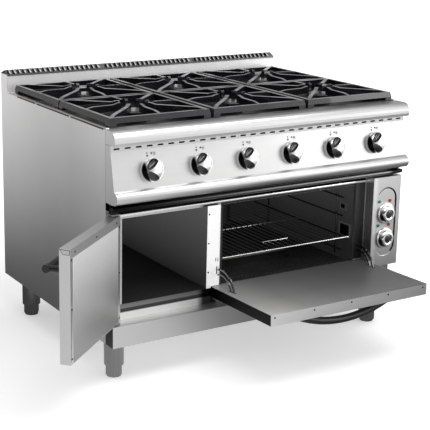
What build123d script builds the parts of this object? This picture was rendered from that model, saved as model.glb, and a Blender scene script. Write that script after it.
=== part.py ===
from build123d import *
from math import atan2, cos, degrees, hypot, radians, sin
import os

# ---------------------------------------------------------------- driving dimensions
WIDTH = 1200.0
DEPTH = 840.0
SHEET = 1.5
BODY_BOTTOM = 135.0
WORKTOP_TOP = 850.0
UPSTAND_TOP = 918.0
UPSTAND_FRONT = 780.0
INNER_LEFT = SHEET
INNER_RIGHT = WIDTH - SHEET

OPEN_BOTTOM = 262.0
OPEN_TOP = 553.0
FRAME_TOP = 584.0
CABINET_LEFT = 60.0
CABINET_RIGHT = 388.0
OVEN_LEFT = 448.0
OVEN_RIGHT = 1017.5
OVEN_BACK = 640.0
RECESS_LEFT = 406.0
RECESS_RIGHT = 1072.0
RECESS_BOTTOM = 213.0
RECESS_TOP = 268.0
RECESS_BACK = 16.5

PLINTH_FRONT = -52.0
PLINTH_TOP = 208.0

LEG_XY = [(54.0, 43.0), (1146.0, 43.0), (54.0, 716.0), (1146.0, 716.0)]
LEG_RADIUS = 34.0
FOOT_RADIUS = 31.0
FOOT_TOP = 42.0
FOOT_STEM_RADIUS = 8.0

SLOPE_TOP = (-33.7, 783.0)
SLOPE_BOTTOM = (-58.0, 660.0)
SLOT_COUNT = 30
SLOT_PITCH = 39.8
SLOT_FIRST = 21.5
SLOT_LENGTH = 22.0
SLOT_HEIGHT = 5.5
SLOT_Z = 792.0

KNOB_COUNT = 6
KNOB_FIRST = 140.0
KNOB_PITCH = 184.0
KNOB_Z = 715.5
KNOB_RADIUS = 38.5
KNOB_BACK = 5.0
KNOB_SKIRT = 5.0
KNOB_HEIGHT = 34.0
STEM_RADIUS = 4.0
RUN_GAP = 0.05

COLUMN_X = (210.0, 600.0, 990.0)
ROW_Y = (200.0, 570.0)
PAN_HALF = 188.0
PAN_RIM = 4.0
PAN_FRONT = 20.0
PAN_BACK = 750.0
PAN_FLOOR = 826.0
PAN_SHEET = 1.2
BURNER_HOLE = 32.0

GRATE_HALF = 190.0
GRATE_FRONT = 12.0
GRATE_SPLIT = 385.0
GRATE_BACK = 758.0
GRATE_BAR = 16.0
GRATE_FOOT = PAN_SHEET + WORKTOP_TOP
GRATE_LOW = 863.0
GRATE_HIGH = 881.0
FINGER_TOP = 890.0
FINGER_WIDTH = 11.0
DIAGONAL_WIDTH = 14.0
FINGER_INNER = 48.0

BOX_LEFT = 1071.0
BOX_FRONT = -45.5
BOX_BOTTOM = 244.5
BOX_TOP = 581.5
TRACK_X = 1136.0
TRACK_WIDTH = 92.0
TRACK_BOTTOM = 282.0
TRACK_TOP = 542.0
TRACK_DEPTH = 3.0
GREEN_LAMPS = [(1103.0, 490.5), (1103.0, 400.0)]
RED_LAMPS = [(1152.5, 490.5), (1152.5, 399.5)]
LAMP_RADIUS = 6.0
DIAL_X = 1134.0
DIAL_Z = (443.4, 349.7)
DIAL_RADIUS = 39.0
SHAFT_RADIUS = 3.0

CABINET_DOOR_LEFT = 13.0
CABINET_DOOR_RIGHT = 405.6
DOOR_BOTTOM = 216.0
DOOR_TOP = 572.7
CABINET_DOOR_BACK = -4.0
CABINET_DOOR_FRONT = -39.5
CABINET_PIVOT = (20.8, -21.5)
CABINET_DOOR_OPEN = 139.8
PIN_RADIUS = 4.0

LINER_SIDE = 21.0
LINER_TOP = 30.0
BORDER = 34.0

OVEN_DOOR_LEFT = 410.0
OVEN_DOOR_RIGHT = 1068.5
OVEN_DOOR_BACK = -4.0
OVEN_DOOR_FRONT = -42.0
LINER_SHEET = 1.0
OVEN_PIVOT = (-22.0, 247.0)
OVEN_DOOR_OPEN = 88.54
ARM_X = (436.5, 1040.5)
ARM_WIDTH = 5.0
ARM_OUTER = (76.0, 82.0)
ARM_INNER = (59.0, 64.0)
HANDLE_RADIUS = 13.0

RACK_Z = 358.0
RACK_FRONT = 10.0
RACK_BACK = 600.0
RACK_LEFT = 461.0
RACK_RIGHT = 1004.5
WIRE = 3.0

TRAY_LEFT = 8.0
TRAY_RIGHT = 1192.0
TRAY_BACK = 760.0
TRAY_FLOOR = 586.05
TRAY_RIM = 606.0
TRAY_SHEET = 1.2
RUNNER_Z = 584.5

# The row's origin: centre of the footprint with both doors open, at floor level.
CENTRE_X = 440.5
CENTRE_Y = 254.5

SLOPE_LENGTH = hypot(SLOPE_TOP[0] - SLOPE_BOTTOM[0], SLOPE_TOP[1] - SLOPE_BOTTOM[1])
SLOPE_NORMAL = (
    0.0,
    -(SLOPE_TOP[1] - SLOPE_BOTTOM[1]) / SLOPE_LENGTH,
    (SLOPE_TOP[0] - SLOPE_BOTTOM[0]) / SLOPE_LENGTH,
)
KNOB_Y = SLOPE_BOTTOM[0] + (KNOB_Z - SLOPE_BOTTOM[1]) * (
    SLOPE_TOP[0] - SLOPE_BOTTOM[0]
) / (SLOPE_TOP[1] - SLOPE_BOTTOM[1])
KNOB_X = [KNOB_FIRST + KNOB_PITCH * i for i in range(KNOB_COUNT)]


def arc_points(centre, radius, start, stop, count):
    """Points on an arc in a (y, z) section, angles in degrees."""
    step = (stop - start) / (count - 1)
    angles = [radians(start + step * i) for i in range(count)]
    return [(centre[0] + radius * cos(a), centre[1] + radius * sin(a)) for a in angles]


def folded(points, thickness):
    """Closed outline of a bent sheet: the points, then the same line moved to its left."""
    shifted = []
    for i, (y, z) in enumerate(points):
        before = points[i - 1] if i > 0 else None
        after = points[i + 1] if i < len(points) - 1 else None
        normals = []
        for a, b in ((before, (y, z)), ((y, z), after)):
            if a is None or b is None:
                continue
            run = hypot(b[0] - a[0], b[1] - a[1])
            normals.append((-(b[1] - a[1]) / run, (b[0] - a[0]) / run))
        ny = sum(n[0] for n in normals) / len(normals)
        nz = sum(n[1] for n in normals) / len(normals)
        square = ny * ny + nz * nz
        shifted.append((y + thickness * ny / square, z + thickness * nz / square))
    return points + shifted[::-1]


def prism_x(outline, x0, x1, mode=Mode.ADD):
    """A (y, z) outline extruded from x0 to x1."""
    with BuildSketch(Plane.YZ.offset(x0)) as section:
        with BuildLine():
            Polyline(*outline, close=True)
        make_face()
    extrude(section.sketch, amount=x1 - x0, mode=mode)


def block(x0, x1, y0, y1, z0, z1, mode=Mode.ADD):
    """An upright box given by its six limits."""
    with Locations((x0, y0, z0)):
        Box(
            x1 - x0,
            y1 - y0,
            z1 - z0,
            align=(Align.MIN, Align.MIN, Align.MIN),
            mode=mode,
        )


def rod(start, end, radius, mode=Mode.ADD):
    """A straight round rod between two points."""
    axis = Vector(*end) - Vector(*start)
    with BuildSketch(Plane(origin=start, z_dir=axis)) as section:
        Circle(radius)
    extrude(section.sketch, amount=axis.length, mode=mode)


def tube_path(points, bend, radius):
    """A round bar swept along a bent centre line."""
    with BuildLine() as path:
        FilletPolyline(*points, radius=bend)
    start = path.wires()[0]
    with BuildSketch(Plane(origin=start @ 0, z_dir=start % 0)) as section:
        Circle(radius)
    sweep(section.sketch, path=start)


def knob_plane(x):
    return Plane(origin=(x, KNOB_Y, KNOB_Z), x_dir=(1, 0, 0), z_dir=SLOPE_NORMAL)


def on_front(x, z, y):
    """A work plane facing the user at the given depth."""
    return Plane(origin=(x, y, z), x_dir=(1, 0, 0), z_dir=(0, -1, 0))


os.makedirs("parts", exist_ok=True)
TO_ROW = Location((-CENTRE_X, -CENTRE_Y, 0))
CABINET_SWING = (
    Location((CABINET_PIVOT[0], CABINET_PIVOT[1], 0))
    * Location((0, 0, 0), (0, 0, -CABINET_DOOR_OPEN))
    * Location((-CABINET_PIVOT[0], -CABINET_PIVOT[1], 0))
)
OVEN_SWING = (
    Location((0, OVEN_PIVOT[0], OVEN_PIVOT[1]))
    * Location((0, 0, 0), (OVEN_DOOR_OPEN, 0, 0))
    * Location((0, -OVEN_PIVOT[0], -OVEN_PIVOT[1]))
)


def save(shape, label, place=Location()):
    placed = shape.moved(TO_ROW * place)
    placed.label = label
    export_step(placed, f"parts/{label}.step")


# ---------------------------------------------------------------- casing
SIDE_OUTLINE = [
    (0.0, BODY_BOTTOM),
    (DEPTH, BODY_BOTTOM),
    (DEPTH, UPSTAND_TOP - SHEET),
    (UPSTAND_FRONT, UPSTAND_TOP - SHEET),
    (UPSTAND_FRONT, WORKTOP_TOP - SHEET),
    (0.0, WORKTOP_TOP - SHEET),
]
RUNNER_WIDTH = 20.0

with BuildPart() as side_panel_left:
    prism_x(SIDE_OUTLINE, 0.0, SHEET)
    block(SHEET, SHEET + RUNNER_WIDTH, 4.0, 770.0, RUNNER_Z, RUNNER_Z + SHEET)
save(side_panel_left.part, "side_panel_left")

with BuildPart() as side_panel_right:
    prism_x(SIDE_OUTLINE, WIDTH - SHEET, WIDTH)
    block(
        INNER_RIGHT - RUNNER_WIDTH, INNER_RIGHT, 4.0, 770.0, RUNNER_Z, RUNNER_Z + SHEET
    )
save(side_panel_right.part, "side_panel_right")

GAS_X = 1150.0
GAS_Z = 760.0
GAS_RADIUS = 10.5
PIPE_RADIUS = 11.0
INLET_LENGTH = 18.0
GLAND_X = 1120.0
GLAND_Z = 330.0
with BuildPart() as back_panel:
    block(
        INNER_LEFT,
        INNER_RIGHT,
        DEPTH - SHEET,
        DEPTH,
        BODY_BOTTOM + SHEET,
        UPSTAND_TOP - SHEET,
    )
    with Locations((GAS_X, DEPTH, GAS_Z)):
        Cylinder(
            GAS_RADIUS + 4.0, 10.0, rotation=(90, 0, 0), mode=Mode.SUBTRACT
        )
    for i in range(8):
        block(
            300.0 + 70.0 * i,
            350.0 + 70.0 * i,
            DEPTH - 3.0,
            DEPTH + 1.0,
            640.0,
            646.0,
            mode=Mode.SUBTRACT,
        )
    with Locations((GLAND_X, DEPTH + 5.0, GLAND_Z)):
        Cylinder(14.0, 10.0, rotation=(90, 0, 0))
        Cylinder(7.0, 30.0, rotation=(90, 0, 0), mode=Mode.SUBTRACT)
save(back_panel.part, "back_panel")

with BuildPart() as base_panel:
    block(INNER_LEFT, INNER_RIGHT, 0.0, DEPTH, BODY_BOTTOM, BODY_BOTTOM + SHEET)
    for x in (200.0, 600.0, 1000.0):
        with Locations((x, 420.0, BODY_BOTTOM)):
            with GridLocations(30.0, 0.0, 5, 1):
                Box(8.0, 120.0, 8.0, mode=Mode.SUBTRACT)
save(base_panel.part, "base_panel")

with BuildPart() as plinth:
    prism_x(
        folded(
            [
                (-1.0, PLINTH_TOP),
                (PLINTH_FRONT, PLINTH_TOP),
                (PLINTH_FRONT, BODY_BOTTOM),
                (PLINTH_FRONT + 25.0, BODY_BOTTOM),
            ],
            SHEET,
        ),
        0.0,
        WIDTH,
    )
    for x in (0.0, WIDTH - SHEET):
        block(x, x + SHEET, PLINTH_FRONT, 0.0, BODY_BOTTOM, PLINTH_TOP)
    block(0.0, WIDTH, -SHEET, 0.0, PLINTH_TOP - 30.0, PLINTH_TOP)
save(plinth.part, "plinth")

LEG_BORE = FOOT_STEM_RADIUS + RUN_GAP
with BuildPart() as leg_tubes:
    with Locations(*[(x, y, FOOT_TOP) for x, y in LEG_XY]):
        Cylinder(
            LEG_RADIUS,
            BODY_BOTTOM - FOOT_TOP,
            align=(Align.CENTER, Align.CENTER, Align.MIN),
        )
        Cylinder(
            LEG_BORE,
            BODY_BOTTOM - FOOT_TOP,
            align=(Align.CENTER, Align.CENTER, Align.MIN),
            mode=Mode.SUBTRACT,
        )
    with Locations(*[(x, y, FOOT_TOP + 12.0) for x, y in LEG_XY]):
        Cylinder(
            LEG_RADIUS - 2.0,
            BODY_BOTTOM - FOOT_TOP - 15.0,
            align=(Align.CENTER, Align.CENTER, Align.MIN),
            mode=Mode.SUBTRACT,
        )
save(leg_tubes.part, "leg_tubes")

with BuildPart() as levelling_feet:
    for x, y in LEG_XY:
        with BuildSketch(Plane.XY.offset(8.0).shift_origin((x, y, 8.0))):
            RegularPolygon(FOOT_RADIUS, 6)
        extrude(amount=FOOT_TOP - 10.0)
        with BuildSketch(Plane.XY.shift_origin((x, y, 0.0))):
            Circle(FOOT_RADIUS - 6.0)
        with BuildSketch(Plane.XY.offset(8.0).shift_origin((x, y, 8.0))):
            Circle(FOOT_RADIUS - 4.5)
        loft()
        with Locations((x, y, FOOT_TOP - 2.0)):
            Cylinder(
                FOOT_RADIUS - 8.0, 2.0, align=(Align.CENTER, Align.CENTER, Align.MIN)
            )
        with Locations((x, y, FOOT_TOP)):
            Cylinder(
                FOOT_STEM_RADIUS,
                50.0,
                align=(Align.CENTER, Align.CENTER, Align.MIN),
            )
save(levelling_feet.part, "levelling_feet")

# ---------------------------------------------------------------- worktop and flue
NOSE = [
    (780.0, WORKTOP_TOP),
    (-36.0, WORKTOP_TOP),
    (-45.0, 849.0),
    (-52.5, 845.5),
    (-58.0, 839.5),
    (-61.5, 832.0),
    (-63.5, 823.0),
    (-64.0, 814.0),
    (-62.5, 804.5),
    (-35.6, 804.5),
]
with BuildPart() as worktop:
    prism_x(folded(NOSE, SHEET), 0.0, WIDTH)
    for x in (0.0, WIDTH - SHEET):
        prism_x(NOSE[1:] + [(-1.0, 804.5), (-1.0, WORKTOP_TOP)], x, x + SHEET)
    for cx in COLUMN_X:
        block(
            cx - PAN_HALF + 0.5,
            cx + PAN_HALF - 0.5,
            PAN_FRONT + 0.5,
            PAN_BACK - 0.5,
            WORKTOP_TOP - 5.0,
            WORKTOP_TOP + 5.0,
            mode=Mode.SUBTRACT,
        )
save(worktop.part, "worktop")

with BuildPart() as splashback:
    block(
        INNER_LEFT,
        INNER_RIGHT,
        UPSTAND_FRONT,
        UPSTAND_FRONT + SHEET,
        WORKTOP_TOP,
        UPSTAND_TOP - SHEET,
    )
save(splashback.part, "splashback")

FLUE_FRONT = (776.0, 917.0)
FLUE_APEX = (804.0, 932.0)
FLUE_BACK = (840.0, 918.0)
LOUVRE_PITCH = 20.3
LOUVRE_FIRST = 16.0
LOUVRE_COUNT = 58
FLUE_SCREW_X = (410.0, 807.0)
with BuildPart() as flue_grille:
    prism_x(
        folded([FLUE_BACK, FLUE_APEX, FLUE_FRONT, (776.0, 912.0)], SHEET), 0.0, WIDTH
    )
    front_slope = Plane(
        origin=(
            0.0,
            (FLUE_FRONT[0] + FLUE_APEX[0]) / 2,
            (FLUE_FRONT[1] + FLUE_APEX[1]) / 2,
        ),
        x_dir=(1, 0, 0),
        z_dir=(
            0.0,
            -(FLUE_APEX[1] - FLUE_FRONT[1]),
            FLUE_APEX[0] - FLUE_FRONT[0],
        ),
    )
    with BuildSketch(front_slope):
        spots = [
            (LOUVRE_FIRST + LOUVRE_PITCH * i, 1.0)
            for i in range(LOUVRE_COUNT)
            if all(
                abs(LOUVRE_FIRST + LOUVRE_PITCH * i - x) > LOUVRE_PITCH / 2
                for x in FLUE_SCREW_X
            )
        ]
        with Locations(*spots):
            SlotOverall(17.0, 6.0, rotation=90)
    extrude(amount=8.0, both=True, mode=Mode.SUBTRACT)
save(flue_grille.part, "flue_grille")

# ---------------------------------------------------------------- fascia and front frame
ROLL = arc_points((-57.5, 638.0), 21.5, 118.0, 262.0, 13)
FASCIA = (
    [(-33.7, 803.5), SLOPE_TOP, SLOPE_BOTTOM]
    + ROLL
    + [(-45.0, 615.0), (-1.0, 615.0)]
)
with BuildPart() as fascia:
    prism_x(folded(FASCIA, SHEET), 0.0, WIDTH)
    for x in (0.0, WIDTH - SHEET):
        prism_x(FASCIA + [(-1.0, 803.5)], x, x + SHEET)
    with BuildSketch(on_front(0.0, SLOT_Z, SLOPE_TOP[0])):
        with Locations(
            *[(SLOT_FIRST + SLOT_PITCH * i, 0.0) for i in range(SLOT_COUNT)]
        ):
            SlotOverall(SLOT_LENGTH, SLOT_HEIGHT)
    extrude(amount=6.0, both=True, mode=Mode.SUBTRACT)
    for x in KNOB_X:
        with BuildSketch(knob_plane(x)):
            Circle(STEM_RADIUS + 2.0)
        extrude(amount=5.0, both=True, mode=Mode.SUBTRACT)
save(fascia.part, "fascia")

ARM_SLOT = (300.0, 334.0)
with BuildPart() as front_frame:
    block(INNER_LEFT, INNER_RIGHT, 0.0, SHEET, BODY_BOTTOM + SHEET, FRAME_TOP)
    block(
        CABINET_LEFT,
        OVEN_RIGHT,
        -1.0,
        SHEET + 1.0,
        OPEN_BOTTOM,
        OPEN_TOP,
        mode=Mode.SUBTRACT,
    )
    block(
        RECESS_LEFT,
        RECESS_RIGHT,
        -1.0,
        SHEET + 1.0,
        RECESS_BOTTOM,
        RECESS_TOP,
        mode=Mode.SUBTRACT,
    )
    block(
        RECESS_LEFT - SHEET,
        RECESS_RIGHT + SHEET,
        0.0,
        RECESS_BACK + SHEET,
        RECESS_BOTTOM - SHEET,
        RECESS_BOTTOM,
    )
    block(
        RECESS_LEFT - SHEET,
        RECESS_RIGHT + SHEET,
        RECESS_BACK,
        RECESS_BACK + SHEET,
        RECESS_BOTTOM,
        OPEN_BOTTOM - SHEET,
    )
    for x0, x1 in (
        (RECESS_LEFT - SHEET, OVEN_LEFT - SHEET),
        (OVEN_RIGHT + SHEET, RECESS_RIGHT + SHEET),
    ):
        block(
            x0,
            x1,
            RECESS_BACK,
            RECESS_BACK + SHEET,
            OPEN_BOTTOM - SHEET,
            RECESS_TOP + SHEET,
        )
    block(
        OVEN_RIGHT + SHEET,
        RECESS_RIGHT + SHEET,
        0.0,
        RECESS_BACK,
        RECESS_TOP,
        RECESS_TOP + SHEET,
    )
    for x in (RECESS_LEFT - SHEET, RECESS_RIGHT):
        block(
            x, x + SHEET, SHEET, RECESS_BACK, RECESS_BOTTOM, RECESS_TOP
        )
    block(
        ARM_X[1] - ARM_WIDTH / 2 - 1.5,
        ARM_X[1] + ARM_WIDTH / 2 + 1.5,
        -1.0,
        SHEET + 1.0,
        ARM_SLOT[0],
        ARM_SLOT[1],
        mode=Mode.SUBTRACT,
    )
save(front_frame.part, "front_frame")

with BuildPart() as centre_post:
    block(CABINET_RIGHT, OVEN_LEFT, 0.0, SHEET, OPEN_BOTTOM, OPEN_TOP)
    for x in (CABINET_RIGHT + 3.0, OVEN_LEFT - 4.5):
        block(x, x + SHEET, SHEET, 30.0, RECESS_TOP + 2.0, OPEN_TOP)
    block(
        RECESS_LEFT,
        OVEN_LEFT,
        -1.0,
        SHEET + 1.0,
        OPEN_BOTTOM,
        RECESS_TOP,
        mode=Mode.SUBTRACT,
    )
    block(
        RECESS_LEFT,
        OVEN_LEFT - SHEET,
        0.0,
        RECESS_BACK,
        RECESS_TOP,
        RECESS_TOP + SHEET,
    )
    block(
        ARM_X[0] - ARM_WIDTH / 2 - 1.5,
        ARM_X[0] + ARM_WIDTH / 2 + 1.5,
        -1.0,
        SHEET + 1.0,
        ARM_SLOT[0],
        ARM_SLOT[1],
        mode=Mode.SUBTRACT,
    )
save(centre_post.part, "centre_post")

with BuildPart() as oven_gasket:
    block(
        OVEN_LEFT - 8.0,
        OVEN_RIGHT + 8.0,
        -2.4,
        0.0,
        RECESS_TOP,
        OPEN_TOP + 8.0,
    )
    block(
        OVEN_LEFT - 1.0,
        OVEN_RIGHT + 1.0,
        -3.0,
        1.0,
        RECESS_TOP - 1.0,
        OPEN_TOP + 1.0,
        mode=Mode.SUBTRACT,
    )
save(oven_gasket.part, "oven_gasket")

# ---------------------------------------------------------------- cabinet and oven interior
with BuildPart() as cabinet_box:
    block(
        CABINET_LEFT - SHEET,
        CABINET_RIGHT + SHEET,
        SHEET,
        760.0,
        OPEN_BOTTOM - SHEET,
        OPEN_TOP + SHEET,
    )
    block(
        CABINET_LEFT,
        CABINET_RIGHT,
        0.0,
        760.0 - SHEET,
        OPEN_BOTTOM,
        OPEN_TOP,
        mode=Mode.SUBTRACT,
    )
save(cabinet_box.part, "cabinet_box")

with BuildPart() as oven_cavity:
    block(
        OVEN_LEFT - SHEET,
        OVEN_RIGHT + SHEET,
        SHEET,
        OVEN_BACK + SHEET,
        OPEN_BOTTOM - SHEET,
        OPEN_TOP + SHEET,
    )
    block(
        OVEN_LEFT,
        OVEN_RIGHT,
        0.0,
        OVEN_BACK,
        OPEN_BOTTOM,
        OPEN_TOP,
        mode=Mode.SUBTRACT,
    )
    block(
        OVEN_LEFT - 5.0,
        OVEN_RIGHT + 5.0,
        0.0,
        RECESS_BACK,
        OPEN_BOTTOM - 5.0,
        RECESS_TOP + SHEET,
        mode=Mode.SUBTRACT,
    )
save(oven_cavity.part, "oven_cavity")

WRAP = 26.0
WRAP_FRONT = 75.0
with BuildPart() as oven_insulation:
    block(
        OVEN_LEFT - WRAP,
        OVEN_RIGHT + WRAP,
        WRAP_FRONT,
        OVEN_BACK + WRAP,
        OPEN_BOTTOM - WRAP,
        OPEN_TOP + WRAP,
    )
    block(
        OVEN_LEFT - SHEET,
        OVEN_RIGHT + SHEET,
        WRAP_FRONT - 1.0,
        OVEN_BACK + SHEET,
        OPEN_BOTTOM - SHEET,
        OPEN_TOP + SHEET,
        mode=Mode.SUBTRACT,
    )
save(oven_insulation.part, "oven_insulation")

GUIDE_Z = (300.0, RACK_Z - 2 * WIRE - RUN_GAP, 430.0, 500.0)
GUIDE_FRONT = 40.0
GUIDE_BACK = 600.0
GUIDE_WIRE = 3.0
with BuildPart() as rack_guides:
    for wall, inward in ((OVEN_LEFT, 1.0), (OVEN_RIGHT, -1.0)):
        post_x = wall + inward * GUIDE_WIRE
        rail_x = wall + inward * 14.0
        for y in (90.0, 520.0):
            rod((post_x, y, 275.0), (post_x, y, 530.0), GUIDE_WIRE)
        for z in GUIDE_Z:
            rod((rail_x, GUIDE_FRONT, z), (rail_x, GUIDE_BACK, z), GUIDE_WIRE)
            for y in (90.0, 520.0):
                rod((post_x, y, z), (rail_x, y, z), GUIDE_WIRE - 0.5)
save(rack_guides.part, "rack_guides")

ELEMENT = 4.0
ELEMENT_LEFT = 560.0
ELEMENT_RIGHT = 900.0
UPPER_Z = 535.0
LOWER_Z = 280.0
STRAP = 16.0
STRAP_THICK = 3.0
ELEMENT_END = OVEN_BACK - STRAP_THICK / 2
with BuildPart() as heating_elements:
    tube_path(
        [
            (ELEMENT_LEFT, ELEMENT_END, UPPER_Z),
            (ELEMENT_LEFT, 120.0, UPPER_Z),
            (650.0, 120.0, UPPER_Z),
            (650.0, 560.0, UPPER_Z),
            (810.0, 560.0, UPPER_Z),
            (810.0, 120.0, UPPER_Z),
            (ELEMENT_RIGHT, 120.0, UPPER_Z),
            (ELEMENT_RIGHT, ELEMENT_END, UPPER_Z),
        ],
        30.0,
        ELEMENT,
    )
    tube_path(
        [
            (ELEMENT_LEFT, ELEMENT_END, LOWER_Z),
            (ELEMENT_LEFT, 200.0, LOWER_Z),
            (ELEMENT_RIGHT, 200.0, LOWER_Z),
            (ELEMENT_RIGHT, ELEMENT_END, LOWER_Z),
        ],
        40.0,
        ELEMENT,
    )
    for x in (ELEMENT_LEFT, ELEMENT_RIGHT):
        block(
            x - STRAP / 2,
            x + STRAP / 2,
            OVEN_BACK - STRAP_THICK,
            OVEN_BACK,
            LOWER_Z - STRAP / 2,
            UPPER_Z + STRAP / 2,
        )
save(heating_elements.part, "heating_elements")

# ---------------------------------------------------------------- control box
with BuildPart() as control_box:
    block(BOX_LEFT, WIDTH, BOX_FRONT, 0.0, BOX_BOTTOM, BOX_TOP)
    fillet(
        control_box.edges().filter_by(Axis.Z).group_by(Axis.Y)[0], radius=3.0
    )
    block(
        BOX_LEFT + SHEET,
        WIDTH - SHEET,
        BOX_FRONT + SHEET + TRACK_DEPTH,
        1.0,
        BOX_BOTTOM + SHEET,
        BOX_TOP - SHEET,
        mode=Mode.SUBTRACT,
    )
    with BuildSketch(on_front(TRACK_X, (TRACK_BOTTOM + TRACK_TOP) / 2, BOX_FRONT)):
        SlotOverall(TRACK_TOP - TRACK_BOTTOM, TRACK_WIDTH, rotation=90)
    extrude(amount=-TRACK_DEPTH, mode=Mode.SUBTRACT)
    with BuildSketch(on_front(0.0, 0.0, BOX_FRONT)):
        with Locations(*GREEN_LAMPS, *RED_LAMPS):
            Circle(LAMP_RADIUS - 1.0)
        with Locations(*[(DIAL_X, z) for z in DIAL_Z]):
            Circle(SHAFT_RADIUS + 2.0)
    extrude(amount=-8.0, mode=Mode.SUBTRACT)
save(control_box.part, "control_box")

PANEL_Y = BOX_FRONT + TRACK_DEPTH


def lamps(centres):
    with BuildPart() as lamp:
        for x, z in centres:
            with BuildSketch(on_front(x, z, PANEL_Y)):
                Circle(LAMP_RADIUS)
            extrude(amount=2.5)
            with BuildSketch(on_front(x, z, PANEL_Y - 2.5)):
                Circle(LAMP_RADIUS - 1.0)
            extrude(amount=2.5, taper=25)
            with BuildSketch(on_front(x, z, PANEL_Y)):
                Circle(LAMP_RADIUS - 1.2)
            extrude(amount=-18.0)
    return lamp.part


save(lamps(GREEN_LAMPS), "green_lamps")
save(lamps(RED_LAMPS), "red_lamps")

with BuildPart() as oven_thermostats:
    for z in DIAL_Z:
        block(DIAL_X - 19, DIAL_X + 19, -38.0, -8.0, z - 17, z + 17)
        with BuildSketch(on_front(DIAL_X, z, -38.0)):
            Circle(10.0)
        extrude(amount=3.0)
        with BuildSketch(on_front(DIAL_X, z, -42.0)):
            Circle(SHAFT_RADIUS + RUN_GAP)
        extrude(amount=-20.0, mode=Mode.SUBTRACT)
save(oven_thermostats.part, "oven_thermostats")


def dial(z):
    with BuildPart() as knob:
        with BuildSketch(on_front(DIAL_X, z, PANEL_Y - 2.0)):
            Circle(DIAL_RADIUS)
        extrude(amount=4.0)
        with BuildSketch(on_front(DIAL_X, z, PANEL_Y - 6.0)):
            Circle(22.0)
        extrude(amount=14.0, taper=4)
        with BuildSketch(on_front(DIAL_X, z, PANEL_Y - 20.0)):
            SlotOverall(36.0, 9.0, rotation=90)
        extrude(amount=6.0)
        with BuildSketch(on_front(DIAL_X, z, PANEL_Y - 2.0)):
            Circle(SHAFT_RADIUS)
        extrude(amount=-22.0)
    return knob.part


save(dial(DIAL_Z[0]), "oven_temperature_knob")
save(dial(DIAL_Z[1]), "oven_mode_knob")

# ---------------------------------------------------------------- hob gas parts
MANIFOLD_Y = 30.0
MANIFOLD_Z = 700.0
VALVE_DEPTH = 52.0
with BuildPart() as gas_manifold:
    tube_path(
        [
            (60.0, MANIFOLD_Y, MANIFOLD_Z),
            (GAS_X, MANIFOLD_Y, MANIFOLD_Z),
            (GAS_X, MANIFOLD_Y + 60.0, MANIFOLD_Z),
            (GAS_X, MANIFOLD_Y + 120.0, GAS_Z),
            (GAS_X, DEPTH, GAS_Z),
        ],
        25.0,
        PIPE_RADIUS,
    )
    rod(
        (GAS_X, DEPTH - 1.0, GAS_Z),
        (GAS_X, DEPTH + INLET_LENGTH, GAS_Z),
        GAS_RADIUS,
    )
save(gas_manifold.part, "gas_manifold")

with BuildPart() as gas_valves:
    for x in KNOB_X:
        with BuildSketch(knob_plane(x).offset(-8.0)):
            Circle(15.0)
        extrude(amount=-VALVE_DEPTH)
        with BuildSketch(knob_plane(x)):
            Circle(9.0)
        extrude(amount=-(SHEET + 10.0))
        with BuildSketch(knob_plane(x)):
            Circle(9.5)
        extrude(amount=-SHEET, mode=Mode.SUBTRACT)
        with BuildSketch(knob_plane(x)):
            Circle(STEM_RADIUS + RUN_GAP)
        extrude(amount=-26.0, mode=Mode.SUBTRACT)
        with BuildSketch(Plane.XY.offset(712.0).shift_origin((x, -4.0, 712.0))):
            Circle(8.0)
        extrude(amount=32.0)
    rod(
        (50.0, MANIFOLD_Y, MANIFOLD_Z),
        (GAS_X + 10.0, MANIFOLD_Y, MANIFOLD_Z),
        PIPE_RADIUS + 0.01,
        mode=Mode.SUBTRACT,
    )
save(gas_valves.part, "gas_valves")

PIPE = 4.0
BURNER_LOW = 795.0
with BuildPart() as burner_pipes:
    for i, x in enumerate(KNOB_X):
        target_x = COLUMN_X[i // 2]
        target_y = ROW_Y[1 - i % 2]
        tube_path(
            [
                (x, -4.0, 744.0),
                (x, -4.0, 764.0),
                (x, target_y, 764.0),
                (target_x, target_y, 764.0),
                (target_x, target_y, BURNER_LOW),
            ],
            10.0,
            PIPE,
        )
save(burner_pipes.part, "burner_pipes")

with BuildPart() as burner_bases:
    for x in COLUMN_X:
        for y in ROW_Y:
            with BuildSketch(Plane.XY.offset(BURNER_LOW).shift_origin((x, y, BURNER_LOW))):
                Circle(20.0)
            extrude(amount=12.0)
            with BuildSketch(Plane.XY.offset(807.0).shift_origin((x, y, 807.0))):
                Circle(30.0)
            extrude(amount=PAN_FLOOR + PAN_SHEET - 807.0)
            with BuildSketch(Plane.XY.offset(827.2).shift_origin((x, y, 827.2))):
                Circle(46.0)
            extrude(amount=12.0)
            with BuildSketch(Plane.XY.offset(839.2).shift_origin((x, y, 839.2))):
                Circle(40.0)
            extrude(amount=14.0)
            with BuildSketch(Plane.XY.offset(845.0).shift_origin((x, y, 845.0))):
                with PolarLocations(40.0, 24):
                    Rectangle(6.0, 2.5)
            extrude(amount=8.2, mode=Mode.SUBTRACT)
save(burner_bases.part, "burner_bases")

with BuildPart() as burner_caps:
    for x in COLUMN_X:
        for y in ROW_Y:
            with BuildSketch(Plane.XY.offset(853.2).shift_origin((x, y, 853.2))):
                Circle(43.0)
            extrude(amount=7.0)
            with BuildSketch(Plane.XY.offset(860.2).shift_origin((x, y, 860.2))):
                Circle(43.0)
            extrude(amount=5.0, taper=55)
save(burner_caps.part, "burner_caps")

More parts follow.
